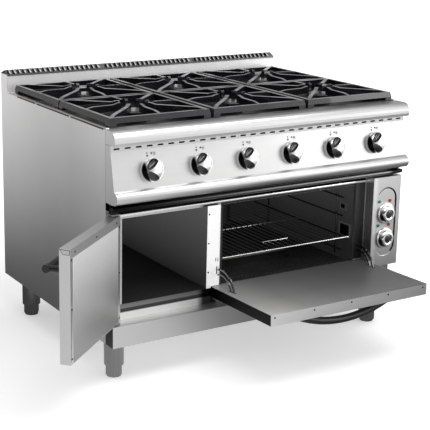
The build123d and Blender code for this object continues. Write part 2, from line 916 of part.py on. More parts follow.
with BuildPart() as spill_pans:
    for x in COLUMN_X:
        block(
            x - PAN_HALF - PAN_RIM,
            x + PAN_HALF + PAN_RIM,
            PAN_FRONT - PAN_RIM,
            PAN_BACK + PAN_RIM,
            WORKTOP_TOP,
            WORKTOP_TOP + PAN_SHEET,
        )
        block(
            x - PAN_HALF + 1.0,
            x + PAN_HALF - 1.0,
            PAN_FRONT + 1.0,
            PAN_BACK - 1.0,
            PAN_FLOOR,
            WORKTOP_TOP,
        )
        block(
            x - PAN_HALF + 1.0 + PAN_SHEET,
            x + PAN_HALF - 1.0 - PAN_SHEET,
            PAN_FRONT + 1.0 + PAN_SHEET,
            PAN_BACK - 1.0 - PAN_SHEET,
            PAN_FLOOR + PAN_SHEET,
            WORKTOP_TOP + 5.0,
            mode=Mode.SUBTRACT,
        )
        for y in ROW_Y:
            with Locations((x, y, PAN_FLOOR)):
                Cylinder(BURNER_HOLE, 10.0, mode=Mode.SUBTRACT)
save(spill_pans.part, "spill_pans")


def finger(cx, cy, angle, reach, width):
    """One raised grate finger running from the frame towards the burner."""
    plane = Plane(
        origin=(cx, cy, 0),
        x_dir=(cos(radians(angle)), sin(radians(angle)), 0),
        z_dir=(sin(radians(angle)), -cos(radians(angle)), 0),
    )
    outline = [
        (FINGER_INNER, GRATE_LOW + 2.0),
        (FINGER_INNER, FINGER_TOP - 3.0),
        (FINGER_INNER + 3.0, FINGER_TOP + 3.0),
        (FINGER_INNER + 12.0, FINGER_TOP + 2.0),
        (FINGER_INNER + 30.0, FINGER_TOP - 3.0),
        (reach - 34.0, FINGER_TOP - 4.0),
        (reach - 6.0, GRATE_HIGH),
        (reach, GRATE_HIGH - 2.0),
        (reach, GRATE_LOW),
        (FINGER_INNER + 40.0, GRATE_LOW + 2.0),
    ]
    with BuildSketch(plane) as section:
        with BuildLine():
            Polyline(*outline, close=True)
        make_face()
    extrude(section.sketch, amount=width / 2, both=True)


def grate_pair(cx):
    with BuildPart() as grate:
        for y0, y1 in ((GRATE_FRONT, GRATE_SPLIT - 1.5), (GRATE_SPLIT + 1.5, GRATE_BACK)):
            cy = ROW_Y[0] if y1 < ROW_Y[1] else ROW_Y[1]
            x0 = cx - GRATE_HALF
            x1 = cx + GRATE_HALF
            with BuildSketch(Plane.XY.offset(GRATE_LOW)):
                with Locations(((x0 + x1) / 2, (y0 + y1) / 2)):
                    Rectangle(x1 - x0, y1 - y0)
            extrude(amount=GRATE_HIGH - GRATE_LOW, taper=14)
            block(
                x0 + GRATE_BAR,
                x1 - GRATE_BAR,
                y0 + GRATE_BAR,
                y1 - GRATE_BAR,
                GRATE_LOW - 1.0,
                GRATE_HIGH + 1.0,
                mode=Mode.SUBTRACT,
            )
            for x in (x0 + 1.0, x1 - 27.0):
                for y in (y0 + 1.0, y1 - 27.0):
                    block(x, x + 26.0, y, y + 26.0, GRATE_FOOT, GRATE_LOW)
            across = GRATE_HALF - 6.0
            for angle in (0.0, 180.0):
                finger(cx, cy, angle, across, FINGER_WIDTH)
            finger(cx, cy, 90.0, y1 - cy - 6.0, FINGER_WIDTH)
            finger(cx, cy, 270.0, cy - y0 - 6.0, FINGER_WIDTH)
            for sx in (-1.0, 1.0):
                for y_edge in (y0 + 9.0, y1 - 9.0):
                    dx = sx * (GRATE_HALF - 9.0)
                    dy = y_edge - cy
                    angle = degrees(atan2(dy, dx))
                    finger(cx, cy, angle, hypot(dx, dy), DIAGONAL_WIDTH)
    return grate.part


for column, name in zip(COLUMN_X, ("grate_left", "grate_middle", "grate_right")):
    save(grate_pair(column), name)


# ---------------------------------------------------------------- hob knobs and stems
def valve_stem(x):
    with BuildPart() as stem:
        with BuildSketch(knob_plane(x).offset(-25.0)):
            Circle(STEM_RADIUS)
        extrude(amount=25.0 + 26.0)
    return stem.part


def hob_knob(x):
    with BuildPart() as knob:
        with BuildSketch(knob_plane(x).offset(KNOB_BACK)):
            Circle(KNOB_RADIUS)
        extrude(amount=KNOB_SKIRT)
        with BuildSketch(knob_plane(x).offset(KNOB_BACK + KNOB_SKIRT)):
            Circle(KNOB_RADIUS - 3.0)
        extrude(amount=9.0, taper=12)
        with BuildSketch(knob_plane(x).offset(KNOB_BACK + KNOB_SKIRT + 9.0)):
            Circle(KNOB_RADIUS - 5.0)
        extrude(amount=8.0, taper=38)
        with BuildSketch(knob_plane(x).offset(KNOB_BACK + KNOB_SKIRT)):
            Rectangle(2 * KNOB_RADIUS - 12.0, 16.0)
        extrude(amount=KNOB_HEIGHT - KNOB_BACK - KNOB_SKIRT, taper=6)
        with BuildSketch(knob_plane(x)):
            Circle(STEM_RADIUS + RUN_GAP)
        extrude(amount=26.0 + 4.0, mode=Mode.SUBTRACT)
    return knob.part


for number, x in enumerate(KNOB_X, start=1):
    save(valve_stem(x), f"valve_stem_{number}")
    save(hob_knob(x), f"hob_knob_{number}")

# ---------------------------------------------------------------- cabinet door
BUSH = 12.0
with BuildPart() as cabinet_hinge_brackets:
    block(4.0, 36.0, -34.0, 0.0, PLINTH_TOP, PLINTH_TOP + 4.0)
    block(4.0, 36.0, -34.0, 0.0, DOOR_TOP + 3.0, DOOR_TOP + 7.0)
    rod(
        (CABINET_PIVOT[0], CABINET_PIVOT[1], PLINTH_TOP + 4.0),
        (CABINET_PIVOT[0], CABINET_PIVOT[1], DOOR_BOTTOM + 9.0),
        PIN_RADIUS,
    )
    rod(
        (CABINET_PIVOT[0], CABINET_PIVOT[1], DOOR_TOP - 9.0),
        (CABINET_PIVOT[0], CABINET_PIVOT[1], DOOR_TOP + 3.0),
        PIN_RADIUS,
    )
save(cabinet_hinge_brackets.part, "cabinet_hinge_brackets")

with BuildPart() as cabinet_door_shell:
    block(
        CABINET_DOOR_LEFT,
        CABINET_DOOR_RIGHT,
        CABINET_DOOR_FRONT,
        CABINET_DOOR_BACK,
        DOOR_BOTTOM,
        DOOR_TOP,
    )
    block(
        CABINET_DOOR_LEFT + SHEET,
        CABINET_DOOR_RIGHT - SHEET,
        CABINET_DOOR_FRONT + SHEET,
        CABINET_DOOR_BACK - SHEET,
        DOOR_BOTTOM + SHEET,
        DOOR_TOP - SHEET,
        mode=Mode.SUBTRACT,
    )
    block(
        CABINET_DOOR_LEFT + BORDER,
        CABINET_DOOR_RIGHT - BORDER,
        CABINET_DOOR_BACK - 3.0,
        CABINET_DOOR_BACK + 1.0,
        DOOR_BOTTOM + BORDER,
        DOOR_TOP - BORDER,
        mode=Mode.SUBTRACT,
    )
    for z0, z1 in ((DOOR_BOTTOM, DOOR_BOTTOM + BUSH), (DOOR_TOP - BUSH, DOOR_TOP)):
        block(
            CABINET_DOOR_LEFT,
            CABINET_DOOR_LEFT + 18.0,
            CABINET_DOOR_FRONT,
            CABINET_DOOR_BACK,
            z0,
            z1,
        )
    rod(
        (CABINET_PIVOT[0], CABINET_PIVOT[1], DOOR_BOTTOM),
        (CABINET_PIVOT[0], CABINET_PIVOT[1], DOOR_BOTTOM + 10.0),
        PIN_RADIUS + RUN_GAP,
        mode=Mode.SUBTRACT,
    )
    rod(
        (CABINET_PIVOT[0], CABINET_PIVOT[1], DOOR_TOP - 10.0),
        (CABINET_PIVOT[0], CABINET_PIVOT[1], DOOR_TOP),
        PIN_RADIUS + RUN_GAP,
        mode=Mode.SUBTRACT,
    )
save(cabinet_door_shell.part, "cabinet_door_shell", CABINET_SWING)

with BuildPart() as cabinet_door_liner:
    block(
        CABINET_DOOR_LEFT + LINER_SIDE,
        CABINET_DOOR_RIGHT - LINER_SIDE,
        CABINET_DOOR_BACK,
        CABINET_DOOR_BACK + LINER_SHEET,
        DOOR_BOTTOM + 3.0,
        DOOR_TOP - LINER_TOP,
    )
save(cabinet_door_liner.part, "cabinet_door_liner", CABINET_SWING)

CABINET_HANDLE_Z = 504.0
CABINET_HANDLE_X = (246.0, 403.0)
CABINET_HANDLE_REACH = 45.0
with BuildPart() as cabinet_door_handle:
    bar_y = CABINET_DOOR_FRONT - CABINET_HANDLE_REACH
    rod(
        (CABINET_HANDLE_X[0], bar_y, CABINET_HANDLE_Z),
        (CABINET_HANDLE_X[1], bar_y, CABINET_HANDLE_Z),
        HANDLE_RADIUS,
    )
    fillet(cabinet_door_handle.edges().filter_by(GeomType.CIRCLE), radius=3.0)
    for x in (CABINET_HANDLE_X[0] + 14.0, CABINET_HANDLE_X[1] - 14.0):
        rod(
            (x, CABINET_DOOR_FRONT, CABINET_HANDLE_Z),
            (x, bar_y, CABINET_HANDLE_Z),
            HANDLE_RADIUS - 3.0,
        )
save(cabinet_door_handle.part, "cabinet_door_handle", CABINET_SWING)

SCREW_RADIUS = 3.2
SCREW_HEIGHT = 1.6


def screw_head(plane):
    with BuildSketch(plane) as head:
        Circle(SCREW_RADIUS)
    extrude(head.sketch, amount=SCREW_HEIGHT, taper=30)


BORDER_SCREWS = [
    (CABINET_DOOR_LEFT + 9.0, 232.0),
    (CABINET_DOOR_LEFT + 9.0, 386.0),
    (CABINET_DOOR_LEFT + 9.0, 538.0),
    (CABINET_DOOR_RIGHT - 9.0, 234.0),
    (CABINET_DOOR_RIGHT - 9.0, 388.0),
    (CABINET_DOOR_RIGHT - 9.0, 539.0),
    (CABINET_DOOR_LEFT + 34.0, DOOR_TOP - 15.0),
    ((CABINET_DOOR_LEFT + CABINET_DOOR_RIGHT) / 2, DOOR_TOP - 15.0),
    (CABINET_DOOR_RIGHT - 34.0, DOOR_TOP - 15.0),
]
with BuildPart() as cabinet_door_screws:
    for x, z in BORDER_SCREWS:
        screw_head(
            Plane(origin=(x, CABINET_DOOR_BACK, z), x_dir=(-1, 0, 0), z_dir=(0, 1, 0))
        )
save(cabinet_door_screws.part, "cabinet_door_screws", CABINET_SWING)

# ---------------------------------------------------------------- oven door
with BuildPart() as oven_door_shell:
    block(
        OVEN_DOOR_LEFT,
        OVEN_DOOR_RIGHT,
        OVEN_DOOR_FRONT,
        OVEN_DOOR_BACK,
        DOOR_BOTTOM,
        DOOR_TOP,
    )
    fillet(
        oven_door_shell.edges().filter_by(Axis.Z).group_by(Axis.Y)[0], radius=3.0
    )
    block(
        OVEN_DOOR_LEFT + SHEET,
        OVEN_DOOR_RIGHT - SHEET,
        OVEN_DOOR_FRONT + SHEET,
        OVEN_DOOR_BACK + 1.0,
        DOOR_BOTTOM + SHEET,
        DOOR_TOP - SHEET,
        mode=Mode.SUBTRACT,
    )
save(oven_door_shell.part, "oven_door_shell", OVEN_SWING)

DOOR_SLOT = (294.0, 336.0)
with BuildPart() as oven_door_liner:
    block(
        OVEN_DOOR_LEFT,
        OVEN_DOOR_RIGHT,
        OVEN_DOOR_BACK,
        OVEN_DOOR_BACK + LINER_SHEET,
        DOOR_BOTTOM,
        DOOR_TOP,
    )
    for x in ARM_X:
        block(
            x - ARM_WIDTH / 2 - 1.0,
            x + ARM_WIDTH / 2 + 1.0,
            OVEN_DOOR_BACK - 1.0,
            OVEN_DOOR_BACK + 2.0,
            DOOR_SLOT[0],
            DOOR_SLOT[1],
            mode=Mode.SUBTRACT,
        )
save(oven_door_liner.part, "oven_door_liner", OVEN_SWING)

with BuildPart() as oven_door_insulation:
    block(
        OVEN_LEFT + 6.0,
        OVEN_RIGHT - 6.0,
        OVEN_DOOR_FRONT + SHEET,
        OVEN_DOOR_BACK,
        DOOR_BOTTOM + 30.0,
        DOOR_TOP - 24.0,
    )
save(oven_door_insulation.part, "oven_door_insulation", OVEN_SWING)

OVEN_HANDLE_Z = DOOR_TOP - 40.0
OVEN_HANDLE_X = (532.0, 942.0)
OVEN_HANDLE_REACH = 41.0
HANDLE_SINK = 6.0
with BuildPart() as oven_door_handle:
    with BuildLine() as bow:
        ThreePointArc(
            (OVEN_HANDLE_X[0], OVEN_DOOR_FRONT + HANDLE_SINK, OVEN_HANDLE_Z),
            (
                (OVEN_HANDLE_X[0] + OVEN_HANDLE_X[1]) / 2,
                OVEN_DOOR_FRONT - OVEN_HANDLE_REACH,
                OVEN_HANDLE_Z,
            ),
            (OVEN_HANDLE_X[1], OVEN_DOOR_FRONT + HANDLE_SINK, OVEN_HANDLE_Z),
        )
    with BuildSketch(Plane(origin=bow.line @ 0, z_dir=bow.line % 0)) as bar:
        Circle(HANDLE_RADIUS)
    sweep(bar.sketch, path=bow.line)
    block(500.0, 980.0, OVEN_DOOR_FRONT, 20.0, 500.0, 560.0, mode=Mode.SUBTRACT)
save(oven_door_handle.part, "oven_door_handle", OVEN_SWING)

ARM_TAIL = 116.0


def arm_arc(x, radii, start, stop):
    """A flat curved arm round the door pivot; angles run up from the front."""
    angles = [start + (stop - start) * i / 20 for i in range(21)]
    outline = []
    for radius, order in ((radii[1], angles), (radii[0], angles[::-1])):
        for a in order:
            outline.append(
                (
                    OVEN_PIVOT[0] - radius * cos(radians(a)),
                    OVEN_PIVOT[1] + radius * sin(radians(a)),
                )
            )
    prism_x(outline, x - ARM_WIDTH / 2, x + ARM_WIDTH / 2)


with BuildPart() as oven_door_hinge_arms:
    for x in ARM_X:
        arm_arc(x, ARM_OUTER, 84.0, 88.54 + ARM_TAIL)
        arm_arc(x, ARM_INNER, 78.0, 88.54 + ARM_TAIL)
        block(
            x - ARM_WIDTH / 2,
            x + ARM_WIDTH / 2,
            -36.0,
            -24.0,
            298.0,
            334.0,
        )
save(oven_door_hinge_arms.part, "oven_door_hinge_arms", OVEN_SWING)

with BuildPart() as oven_door_screws:
    for x in (426.0, 584.0, 738.0, 896.0, 1052.0):
        screw_head(
            Plane(
                origin=(x, OVEN_DOOR_BACK - 10.0, DOOR_TOP), x_dir=(1, 0, 0), z_dir=(0, 0, 1)
            )
        )
save(oven_door_screws.part, "oven_door_screws", OVEN_SWING)

# ---------------------------------------------------------------- oven rack and drip tray
RACK_WIRES = 21
CROSS_WIRE = 1.7
CROSS_RAISE = 0.7
with BuildPart() as oven_rack:
    for x in (RACK_LEFT, RACK_RIGHT):
        rod((x, RACK_FRONT, RACK_Z), (x, RACK_BACK, RACK_Z), WIRE - 0.3)
    for y in (RACK_FRONT, 300.0, RACK_BACK):
        rod((RACK_LEFT - 4.0, y, RACK_Z), (RACK_RIGHT + 4.0, y, RACK_Z), WIRE)
    for i in range(1, RACK_WIRES + 1):
        x = RACK_LEFT + (RACK_RIGHT - RACK_LEFT) * i / (RACK_WIRES + 1)
        z = RACK_Z + CROSS_RAISE
        rod((x, RACK_FRONT, z), (x, RACK_BACK, z), CROSS_WIRE)
save(oven_rack.part, "oven_rack")

LIP_CENTRE = (-43.0, 598.0)
with BuildPart() as drip_tray:
    block(TRAY_LEFT, TRAY_RIGHT, -30.0, TRAY_BACK, TRAY_FLOOR, TRAY_RIM)
    block(
        TRAY_LEFT + TRAY_SHEET,
        TRAY_RIGHT - TRAY_SHEET,
        -30.0 + TRAY_SHEET,
        TRAY_BACK - TRAY_SHEET,
        TRAY_FLOOR + TRAY_SHEET,
        TRAY_RIM + 1.0,
        mode=Mode.SUBTRACT,
    )
    block(2.0, WIDTH - 2.0, -38.0, -30.0, 588.0, 604.0)
    rod((2.0, LIP_CENTRE[0], LIP_CENTRE[1]), (WIDTH - 2.0, LIP_CENTRE[0], LIP_CENTRE[1]), 7.0)
save(drip_tray.part, "drip_tray")

# ---------------------------------------------------------------- visible screws of the body
with BuildPart() as body_screws:
    for z in (523.6, 421.8, 318.7):
        screw_head(Plane(origin=(394.5, 0.0, z), x_dir=(1, 0, 0), z_dir=(0, -1, 0)))
    for x in FLUE_SCREW_X:
        screw_head(
            Plane(
                origin=(x, 788.0, FLUE_FRONT[1] + 12.0 * 15.0 / 28.0),
                x_dir=(1, 0, 0),
                z_dir=(0, -15.0, 28.0),
            )
        )
    for z in (200.0, 400.0, 600.0, 800.0):
        for x in (30.0, 1170.0):
            screw_head(Plane(origin=(x, DEPTH, z), x_dir=(-1, 0, 0), z_dir=(0, 1, 0)))
save(body_screws.part, "body_screws")
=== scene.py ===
import math

import bmesh
import bpy
from mathutils import Matrix, Vector


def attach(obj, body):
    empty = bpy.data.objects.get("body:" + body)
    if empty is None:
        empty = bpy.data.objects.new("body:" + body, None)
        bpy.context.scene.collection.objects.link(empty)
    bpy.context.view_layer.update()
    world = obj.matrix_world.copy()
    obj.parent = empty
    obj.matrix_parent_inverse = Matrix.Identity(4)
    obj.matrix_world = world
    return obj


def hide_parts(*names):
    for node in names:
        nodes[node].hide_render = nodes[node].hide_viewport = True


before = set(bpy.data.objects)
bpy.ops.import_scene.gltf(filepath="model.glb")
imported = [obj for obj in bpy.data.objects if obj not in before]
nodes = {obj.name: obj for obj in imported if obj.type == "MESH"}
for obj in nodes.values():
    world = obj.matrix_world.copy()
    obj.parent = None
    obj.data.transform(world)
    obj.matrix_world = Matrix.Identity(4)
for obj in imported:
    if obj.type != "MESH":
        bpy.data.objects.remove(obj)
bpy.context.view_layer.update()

# ------------------------------------------------------------------ frame
# The body frame used below: X 0..1200 mm to the right, Y 0 at the front frame, Z up.
CENTRE_X = 440.5
CENTRE_Y = 254.5
MM = 0.001


def row(x, y, z):
    """A point of the body frame, in mm, as a row frame point in metres."""
    return Vector(((x - CENTRE_X) * MM, (y - CENTRE_Y) * MM, z * MM))


# ------------------------------------------------------------------ camera
AZIMUTH = math.radians(-30.6314)
ELEVATION = math.radians(13.9849)
ROLL = math.radians(0.7203)
FOCAL_PX = 1150.75
FRAME_PX = 430.0
SENSOR = 36.0
EYE = (-1637.3, -3134.8, 1553.9)
SHIFT_X = 0.1163
SHIFT_Y = -0.0698


def make_camera():
    data = bpy.data.cameras.new("camera")
    data.sensor_width = SENSOR
    data.lens = FOCAL_PX * SENSOR / FRAME_PX
    data.shift_x = SHIFT_X
    data.shift_y = SHIFT_Y
    data.clip_start = 0.05
    data.clip_end = 100.0
    camera = bpy.data.objects.new("camera", data)
    bpy.context.scene.collection.objects.link(camera)
    ahead = Vector(
        (
            -math.sin(AZIMUTH) * math.cos(ELEVATION),
            math.cos(AZIMUTH) * math.cos(ELEVATION),
            -math.sin(ELEVATION),
        )
    )
    level = Vector((math.cos(AZIMUTH), math.sin(AZIMUTH), 0.0))
    upright = level.cross(ahead)
    right = math.cos(ROLL) * level + math.sin(ROLL) * upright
    up = -math.sin(ROLL) * level + math.cos(ROLL) * upright
    place = Matrix(
        (
            (right.x, up.x, -ahead.x, 0.0),
            (right.y, up.y, -ahead.y, 0.0),
            (right.z, up.z, -ahead.z, 0.0),
            (0.0, 0.0, 0.0, 1.0),
        )
    )
    camera.matrix_world = Matrix.Translation(row(*EYE)) @ place
    bpy.context.scene.camera = camera


make_camera()


# ------------------------------------------------------------------ materials
def node_material(name):
    material = bpy.data.materials.new(name)
    material.use_nodes = True
    tree = material.node_tree
    tree.nodes.clear()
    out = tree.nodes.new("ShaderNodeOutputMaterial")
    shader = tree.nodes.new("ShaderNodeBsdfPrincipled")
    tree.links.new(shader.outputs["BSDF"], out.inputs["Surface"])
    return material, tree, shader


def position(tree, scale):
    """Object coordinates scaled along each axis."""
    coords = tree.nodes.new("ShaderNodeTexCoord")
    mapping = tree.nodes.new("ShaderNodeMapping")
    mapping.inputs["Scale"].default_value = scale
    tree.links.new(coords.outputs["Object"], mapping.inputs["Vector"])
    return mapping.outputs["Vector"]


def noise(tree, scale_xyz, detail=4.0, scale=1.0, rough=0.6):
    texture = tree.nodes.new("ShaderNodeTexNoise")
    texture.inputs["Scale"].default_value = scale
    texture.inputs["Detail"].default_value = detail
    texture.inputs["Roughness"].default_value = rough
    tree.links.new(position(tree, scale_xyz), texture.inputs["Vector"])
    return texture.outputs["Fac"]


def grey(level):
    return (level, level, level)


def ramp(tree, fac, low, high, start=0.3, stop=0.7):
    node = tree.nodes.new("ShaderNodeMapRange")
    node.inputs["From Min"].default_value = start
    node.inputs["From Max"].default_value = stop
    node.inputs["To Min"].default_value = low
    node.inputs["To Max"].default_value = high
    tree.links.new(fac, node.inputs["Value"])
    return node.outputs["Result"]


def tint(tree, fac, dark, light):
    node = tree.nodes.new("ShaderNodeMix")
    node.data_type = "RGBA"
    node.inputs["A"].default_value = (*dark, 1.0)
    node.inputs["B"].default_value = (*light, 1.0)
    tree.links.new(fac, node.inputs["Factor"])
    return node.outputs["Result"]


def bump(tree, shader, height, strength, distance):
    node = tree.nodes.new("ShaderNodeBump")
    node.inputs["Strength"].default_value = strength
    node.inputs["Distance"].default_value = distance
    tree.links.new(height, node.inputs["Height"])
    tree.links.new(node.outputs["Normal"], shader.inputs["Normal"])


WHITE = (1.0, 1.0, 1.0, 1.0)
FINE_GRAIN = 900.0
LONG_GRAIN = 4.0
CLOUDS = 3.0


def brushed(name, grain, dark, light, rough=(0.36, 0.43), metallic=1.0, depth=0.000008, glow=0.0):
    """Sheet steel with fine scratches along one axis; grain is 'x', 'y' or 'z'."""
    material, tree, shader = node_material(name)
    stretch = {
        "x": (LONG_GRAIN, FINE_GRAIN, FINE_GRAIN),
        "y": (FINE_GRAIN, LONG_GRAIN, FINE_GRAIN),
        "z": (FINE_GRAIN, FINE_GRAIN, LONG_GRAIN),
    }[grain]
    scratches = noise(tree, stretch, detail=3.0)
    clouds = noise(tree, grey(CLOUDS), detail=3.0)
    mix = tree.nodes.new("ShaderNodeMath")
    mix.operation = "ADD"
    tree.links.new(ramp(tree, scratches, 0.0, 0.5), mix.inputs[0])
    tree.links.new(ramp(tree, clouds, 0.0, 0.5), mix.inputs[1])
    tree.links.new(tint(tree, mix.outputs[0], dark, light), shader.inputs["Base Color"])
    tree.links.new(ramp(tree, scratches, *rough), shader.inputs["Roughness"])
    shader.inputs["Metallic"].default_value = metallic
    shader.inputs["Emission Color"].default_value = WHITE
    shader.inputs["Emission Strength"].default_value = glow
    bump(tree, shader, scratches, 0.25, depth)
    return material


def speckled(
    name, dark, light, scale, rough, metallic=0.0, depth=0.0003, coat=0.0, glow=0.0, shine=0.5
):
    """A cast, moulded or enamelled surface with fine grain."""
    material, tree, shader = node_material(name)
    shader.inputs["Specular IOR Level"].default_value = shine
    grain = noise(tree, grey(scale), detail=6.0)
    clouds = noise(tree, grey(7.0), detail=3.0)
    tree.links.new(tint(tree, ramp(tree, clouds, 0.0, 1.0), dark, light), shader.inputs["Base Color"])
    tree.links.new(ramp(tree, grain, *rough), shader.inputs["Roughness"])
    shader.inputs["Metallic"].default_value = metallic
    shader.inputs["Coat Weight"].default_value = coat
    shader.inputs["Emission Color"].default_value = WHITE
    shader.inputs["Emission Strength"].default_value = glow
    bump(tree, shader, grain, 0.4, depth)
    return material


def principled(material):
    tree = material.node_tree
    return tree, next(n for n in tree.nodes if n.type == "BSDF_PRINCIPLED")


def curve_of(tree, fac, stops, smooth=False):
    """A level between 0 and 1 turned into a tone through (place, tone) stops."""
    curve = tree.nodes.new("ShaderNodeValToRGB")
    if smooth:
        curve.color_ramp.interpolation = "EASE"
    points = curve.color_ramp.elements
    while len(points) < len(stops):
        points.new(0.5)
    for point, (place, level) in zip(points, stops):
        point.position = place
        point.color = (level, level, level, 1.0)
    tree.links.new(fac, curve.inputs["Fac"])
    return curve.outputs["Color"]


def tone(material, factor):
    """Multiplies a material's base colour by a factor socket."""
    tree, shader = principled(material)
    multiply = tree.nodes.new("ShaderNodeMix")
    multiply.data_type = "RGBA"
    multiply.blend_type = "MULTIPLY"
    multiply.inputs["Factor"].default_value = 1.0
    tree.links.new(shader.inputs["Base Color"].links[0].from_socket, multiply.inputs["A"])
    tree.links.new(factor, multiply.inputs["B"])
    tree.links.new(multiply.outputs["Result"], shader.inputs["Base Color"])


def graded(material, axis, stops):
    """Tones a sheet along one body axis, as painted reflection and shade; stops are (place in mm, factor).
    """
    tree, _ = principled(material)
    first, last = stops[0][0], stops[-1][0]
    centre = {"X": CENTRE_X, "Y": CENTRE_Y, "Z": 0.0}[axis]
    split = tree.nodes.new("ShaderNodeSeparateXYZ")
    tree.links.new(position(tree, (1.0, 1.0, 1.0)), split.inputs["Vector"])
    along = ramp(tree, split.outputs[axis], 0.0, 1.0, (first - centre) * MM, (last - centre) * MM)
    tones = [((place - first) / (last - first), level) for place, level in stops]
    tone(material, curve_of(tree, along, tones))


def facing(tree, direction):
    """How far a face turns towards a direction of the object's own frame, from -1 to 1."""
    dot = tree.nodes.new("ShaderNodeVectorMath")
    dot.operation = "DOT_PRODUCT"
    dot.inputs[1].default_value = Vector(direction).normalized()
    tree.links.new(tree.nodes.new("ShaderNodeTexCoord").outputs["Normal"], dot.inputs[0])
    return dot.outputs["Value"]


def times(tree, one, other):
    node = tree.nodes.new("ShaderNodeMath")
    node.operation = "MULTIPLY"
    tree.links.new(one, node.inputs[0])
    tree.links.new(other, node.inputs[1])
    return node.outputs[0]


def shaded_side(material, direction, dark, start, stop, glow=0.0):
    """Painted shade and highlight: darkens the faces that turn towards a direction, as if in shade; glow
    lifts the others with emission.
    """
    tree, shader = principled(material)
    turned = facing(tree, direction)
    tone(material, ramp(tree, turned, 1.0, dark, start, stop))
    if glow:
        tree.links.new(ramp(tree, turned, glow, 0.0, start, stop), shader.inputs["Emission Strength"])


def lit_tops(material, glow, patches):
    """Painted highlight: lifts the faces that look up with emission, in random patches, as light catches a
    cast bar's top.
    """
    tree, shader = principled(material)
    tops = ramp(tree, facing(tree, (0.0, 0.0, 1.0)), 0.0, glow, 0.75, 0.98)
    # Random patches of the painted highlight.
    glint_patches = ramp(tree, noise(tree, grey(patches), detail=2.0), 0.15, 1.0, 0.40, 0.62)
    tree.links.new(times(tree, tops, glint_patches), shader.inputs["Emission Strength"])


def upper_glow(material, low, high, z_low, z_high):
    """Painted light: an emission that lifts a sheet's walls towards its top, and not its floor, as light
    from the front does.
    """
    tree, shader = principled(material)
    split = tree.nodes.new("ShaderNodeSeparateXYZ")
    tree.links.new(position(tree, (1.0, 1.0, 1.0)), split.inputs["Vector"])
    normal = tree.nodes.new("ShaderNodeSeparateXYZ")
    tree.links.new(tree.nodes.new("ShaderNodeNewGeometry").outputs["Normal"], normal.inputs["Vector"])
    upright = ramp(tree, normal.outputs["Z"], 1.0, 0.0, 0.2, 0.8)
    rise = ramp(tree, split.outputs["Z"], low, high, z_low, z_high)
    tree.links.new(times(tree, upright, rise), shader.inputs["Emission Strength"])


STEEL = ((0.60, 0.60, 0.595), (0.68, 0.68, 0.675))
CHROME = (grey(0.86), grey(0.93), 60.0)

# Metal sheet of one tone; some are darkened as painted shade and some glow as painted light.
steel_x = brushed("steel_brushed_x", "x", *STEEL)
# Painted shade: a near-black copy of the steel, for the spill pans.
steel_dark = brushed("steel_shadowed", "x", grey(0.05), grey(0.08), rough=(0.3, 0.45))
# The legs and hinge brackets have a faint glow: painted light.
leg_steel = brushed(
    "leg_satin", "z", (0.20, 0.20, 0.205), (0.29, 0.29, 0.295), rough=(0.2, 0.3), glow=0.012
)
# The centre post glows: painted light.
post_steel = brushed(
    "post_lit", "z", (0.78, 0.78, 0.775), (0.85, 0.85, 0.845), rough=(0.4, 0.46), glow=0.48
)
# The splashback glows: painted light.
splash_steel = brushed(
    "splashback_sheet", "x", (0.74, 0.74, 0.735), (0.80, 0.80, 0.795), rough=(0.5, 0.56), glow=0.16
)
# Painted shade: a near-black copy of the steel for the strip on the frame at the right of the oven
# opening.
frame_shade = brushed(
    "frame_shaded", "z", (0.045, 0.045, 0.046), (0.085, 0.085, 0.086), rough=(0.35, 0.5)
)
# A bright copy of the steel for painted highlights: the lip over the openings, a bar on the rack and a
# line along the dial track.
highlight_steel = brushed("highlight_steel", "x", grey(0.86), grey(0.95), rough=(0.2, 0.3))
cabinet_shell_sheet = brushed("cabinet_door_sheet", "x", (0.68, 0.68, 0.675), (0.77, 0.77, 0.765))
# Painted shade: a dark copy of the steel for the flue grille.
flue_sheet = brushed("flue_sheet", "x", grey(0.16), grey(0.24))
steel_rim = brushed("steel_rim", "y", (0.62, 0.61, 0.58), (0.74, 0.73, 0.70), rough=(0.28, 0.36))

# Metal sheet that is lighter or darker along its length, as the room round it shows in it: painted
# reflection, and on some sheets painted shade and highlight.
# Side panels: painted reflection, darker low down and lighter towards the top.
side_sheet = brushed("side_sheet", "z", *STEEL)
graded(side_sheet, "Z", ((100, 0.80), (300, 0.98), (520, 1.10), (700, 1.15), (900, 1.28)))
graded(side_sheet, "Y", ((0, 1.0), (250, 0.88), (420, 0.92), (700, 1.08), (800, 1.12)))
# Worktop: painted reflection, lighter at the left and darker towards the right.
worktop_sheet = brushed("worktop_sheet", "x", *STEEL)
graded(worktop_sheet, "X", ((0, 1.12), (450, 1.0), (800, 0.80), (1200, 0.64)))
# Fascia: painted reflection, darker towards the right and a little darker at the foot of the roll.
fascia_sheet = brushed("fascia_sheet", "x", *STEEL)
graded(fascia_sheet, "Z", ((605, 0.95), (640, 1.0), (790, 1.0)))
graded(fascia_sheet, "X", ((0, 1.08), (800, 1.0), (1100, 0.82), (1200, 0.74)))
# Front frame: across the sill below the openings a painted highlight band under a band of painted shade;
# painted shade below the centre post and at the right end.
frame_sheet = brushed("frame_sheet", "x", *STEEL)
SILL_TONES = ((214, 1.5), (232, 1.5), (235, 0.10), (246, 0.12), (248, 0.42), (262, 0.32))
graded(frame_sheet, "Z", (*SILL_TONES, (264, 1.0), (590, 1.0)))
POST_TONES = ((350, 1.0), (374, 0.05), (424, 0.05), (440, 1.0))
graded(frame_sheet, "X", ((0, 1.0), *POST_TONES, (1066, 1.0), (1076, 0.25), (1200, 0.25)))
# Plinth: painted shade on its left end, and darker towards the right as painted reflection.
plinth_sheet = brushed("plinth_sheet", "x", *STEEL)
shaded_side(plinth_sheet, (-1, 0, 0), 0.04, 0.5, 0.9)
graded(plinth_sheet, "X", ((0, 1.05), (250, 0.9), (420, 0.72), (1200, 0.7)))
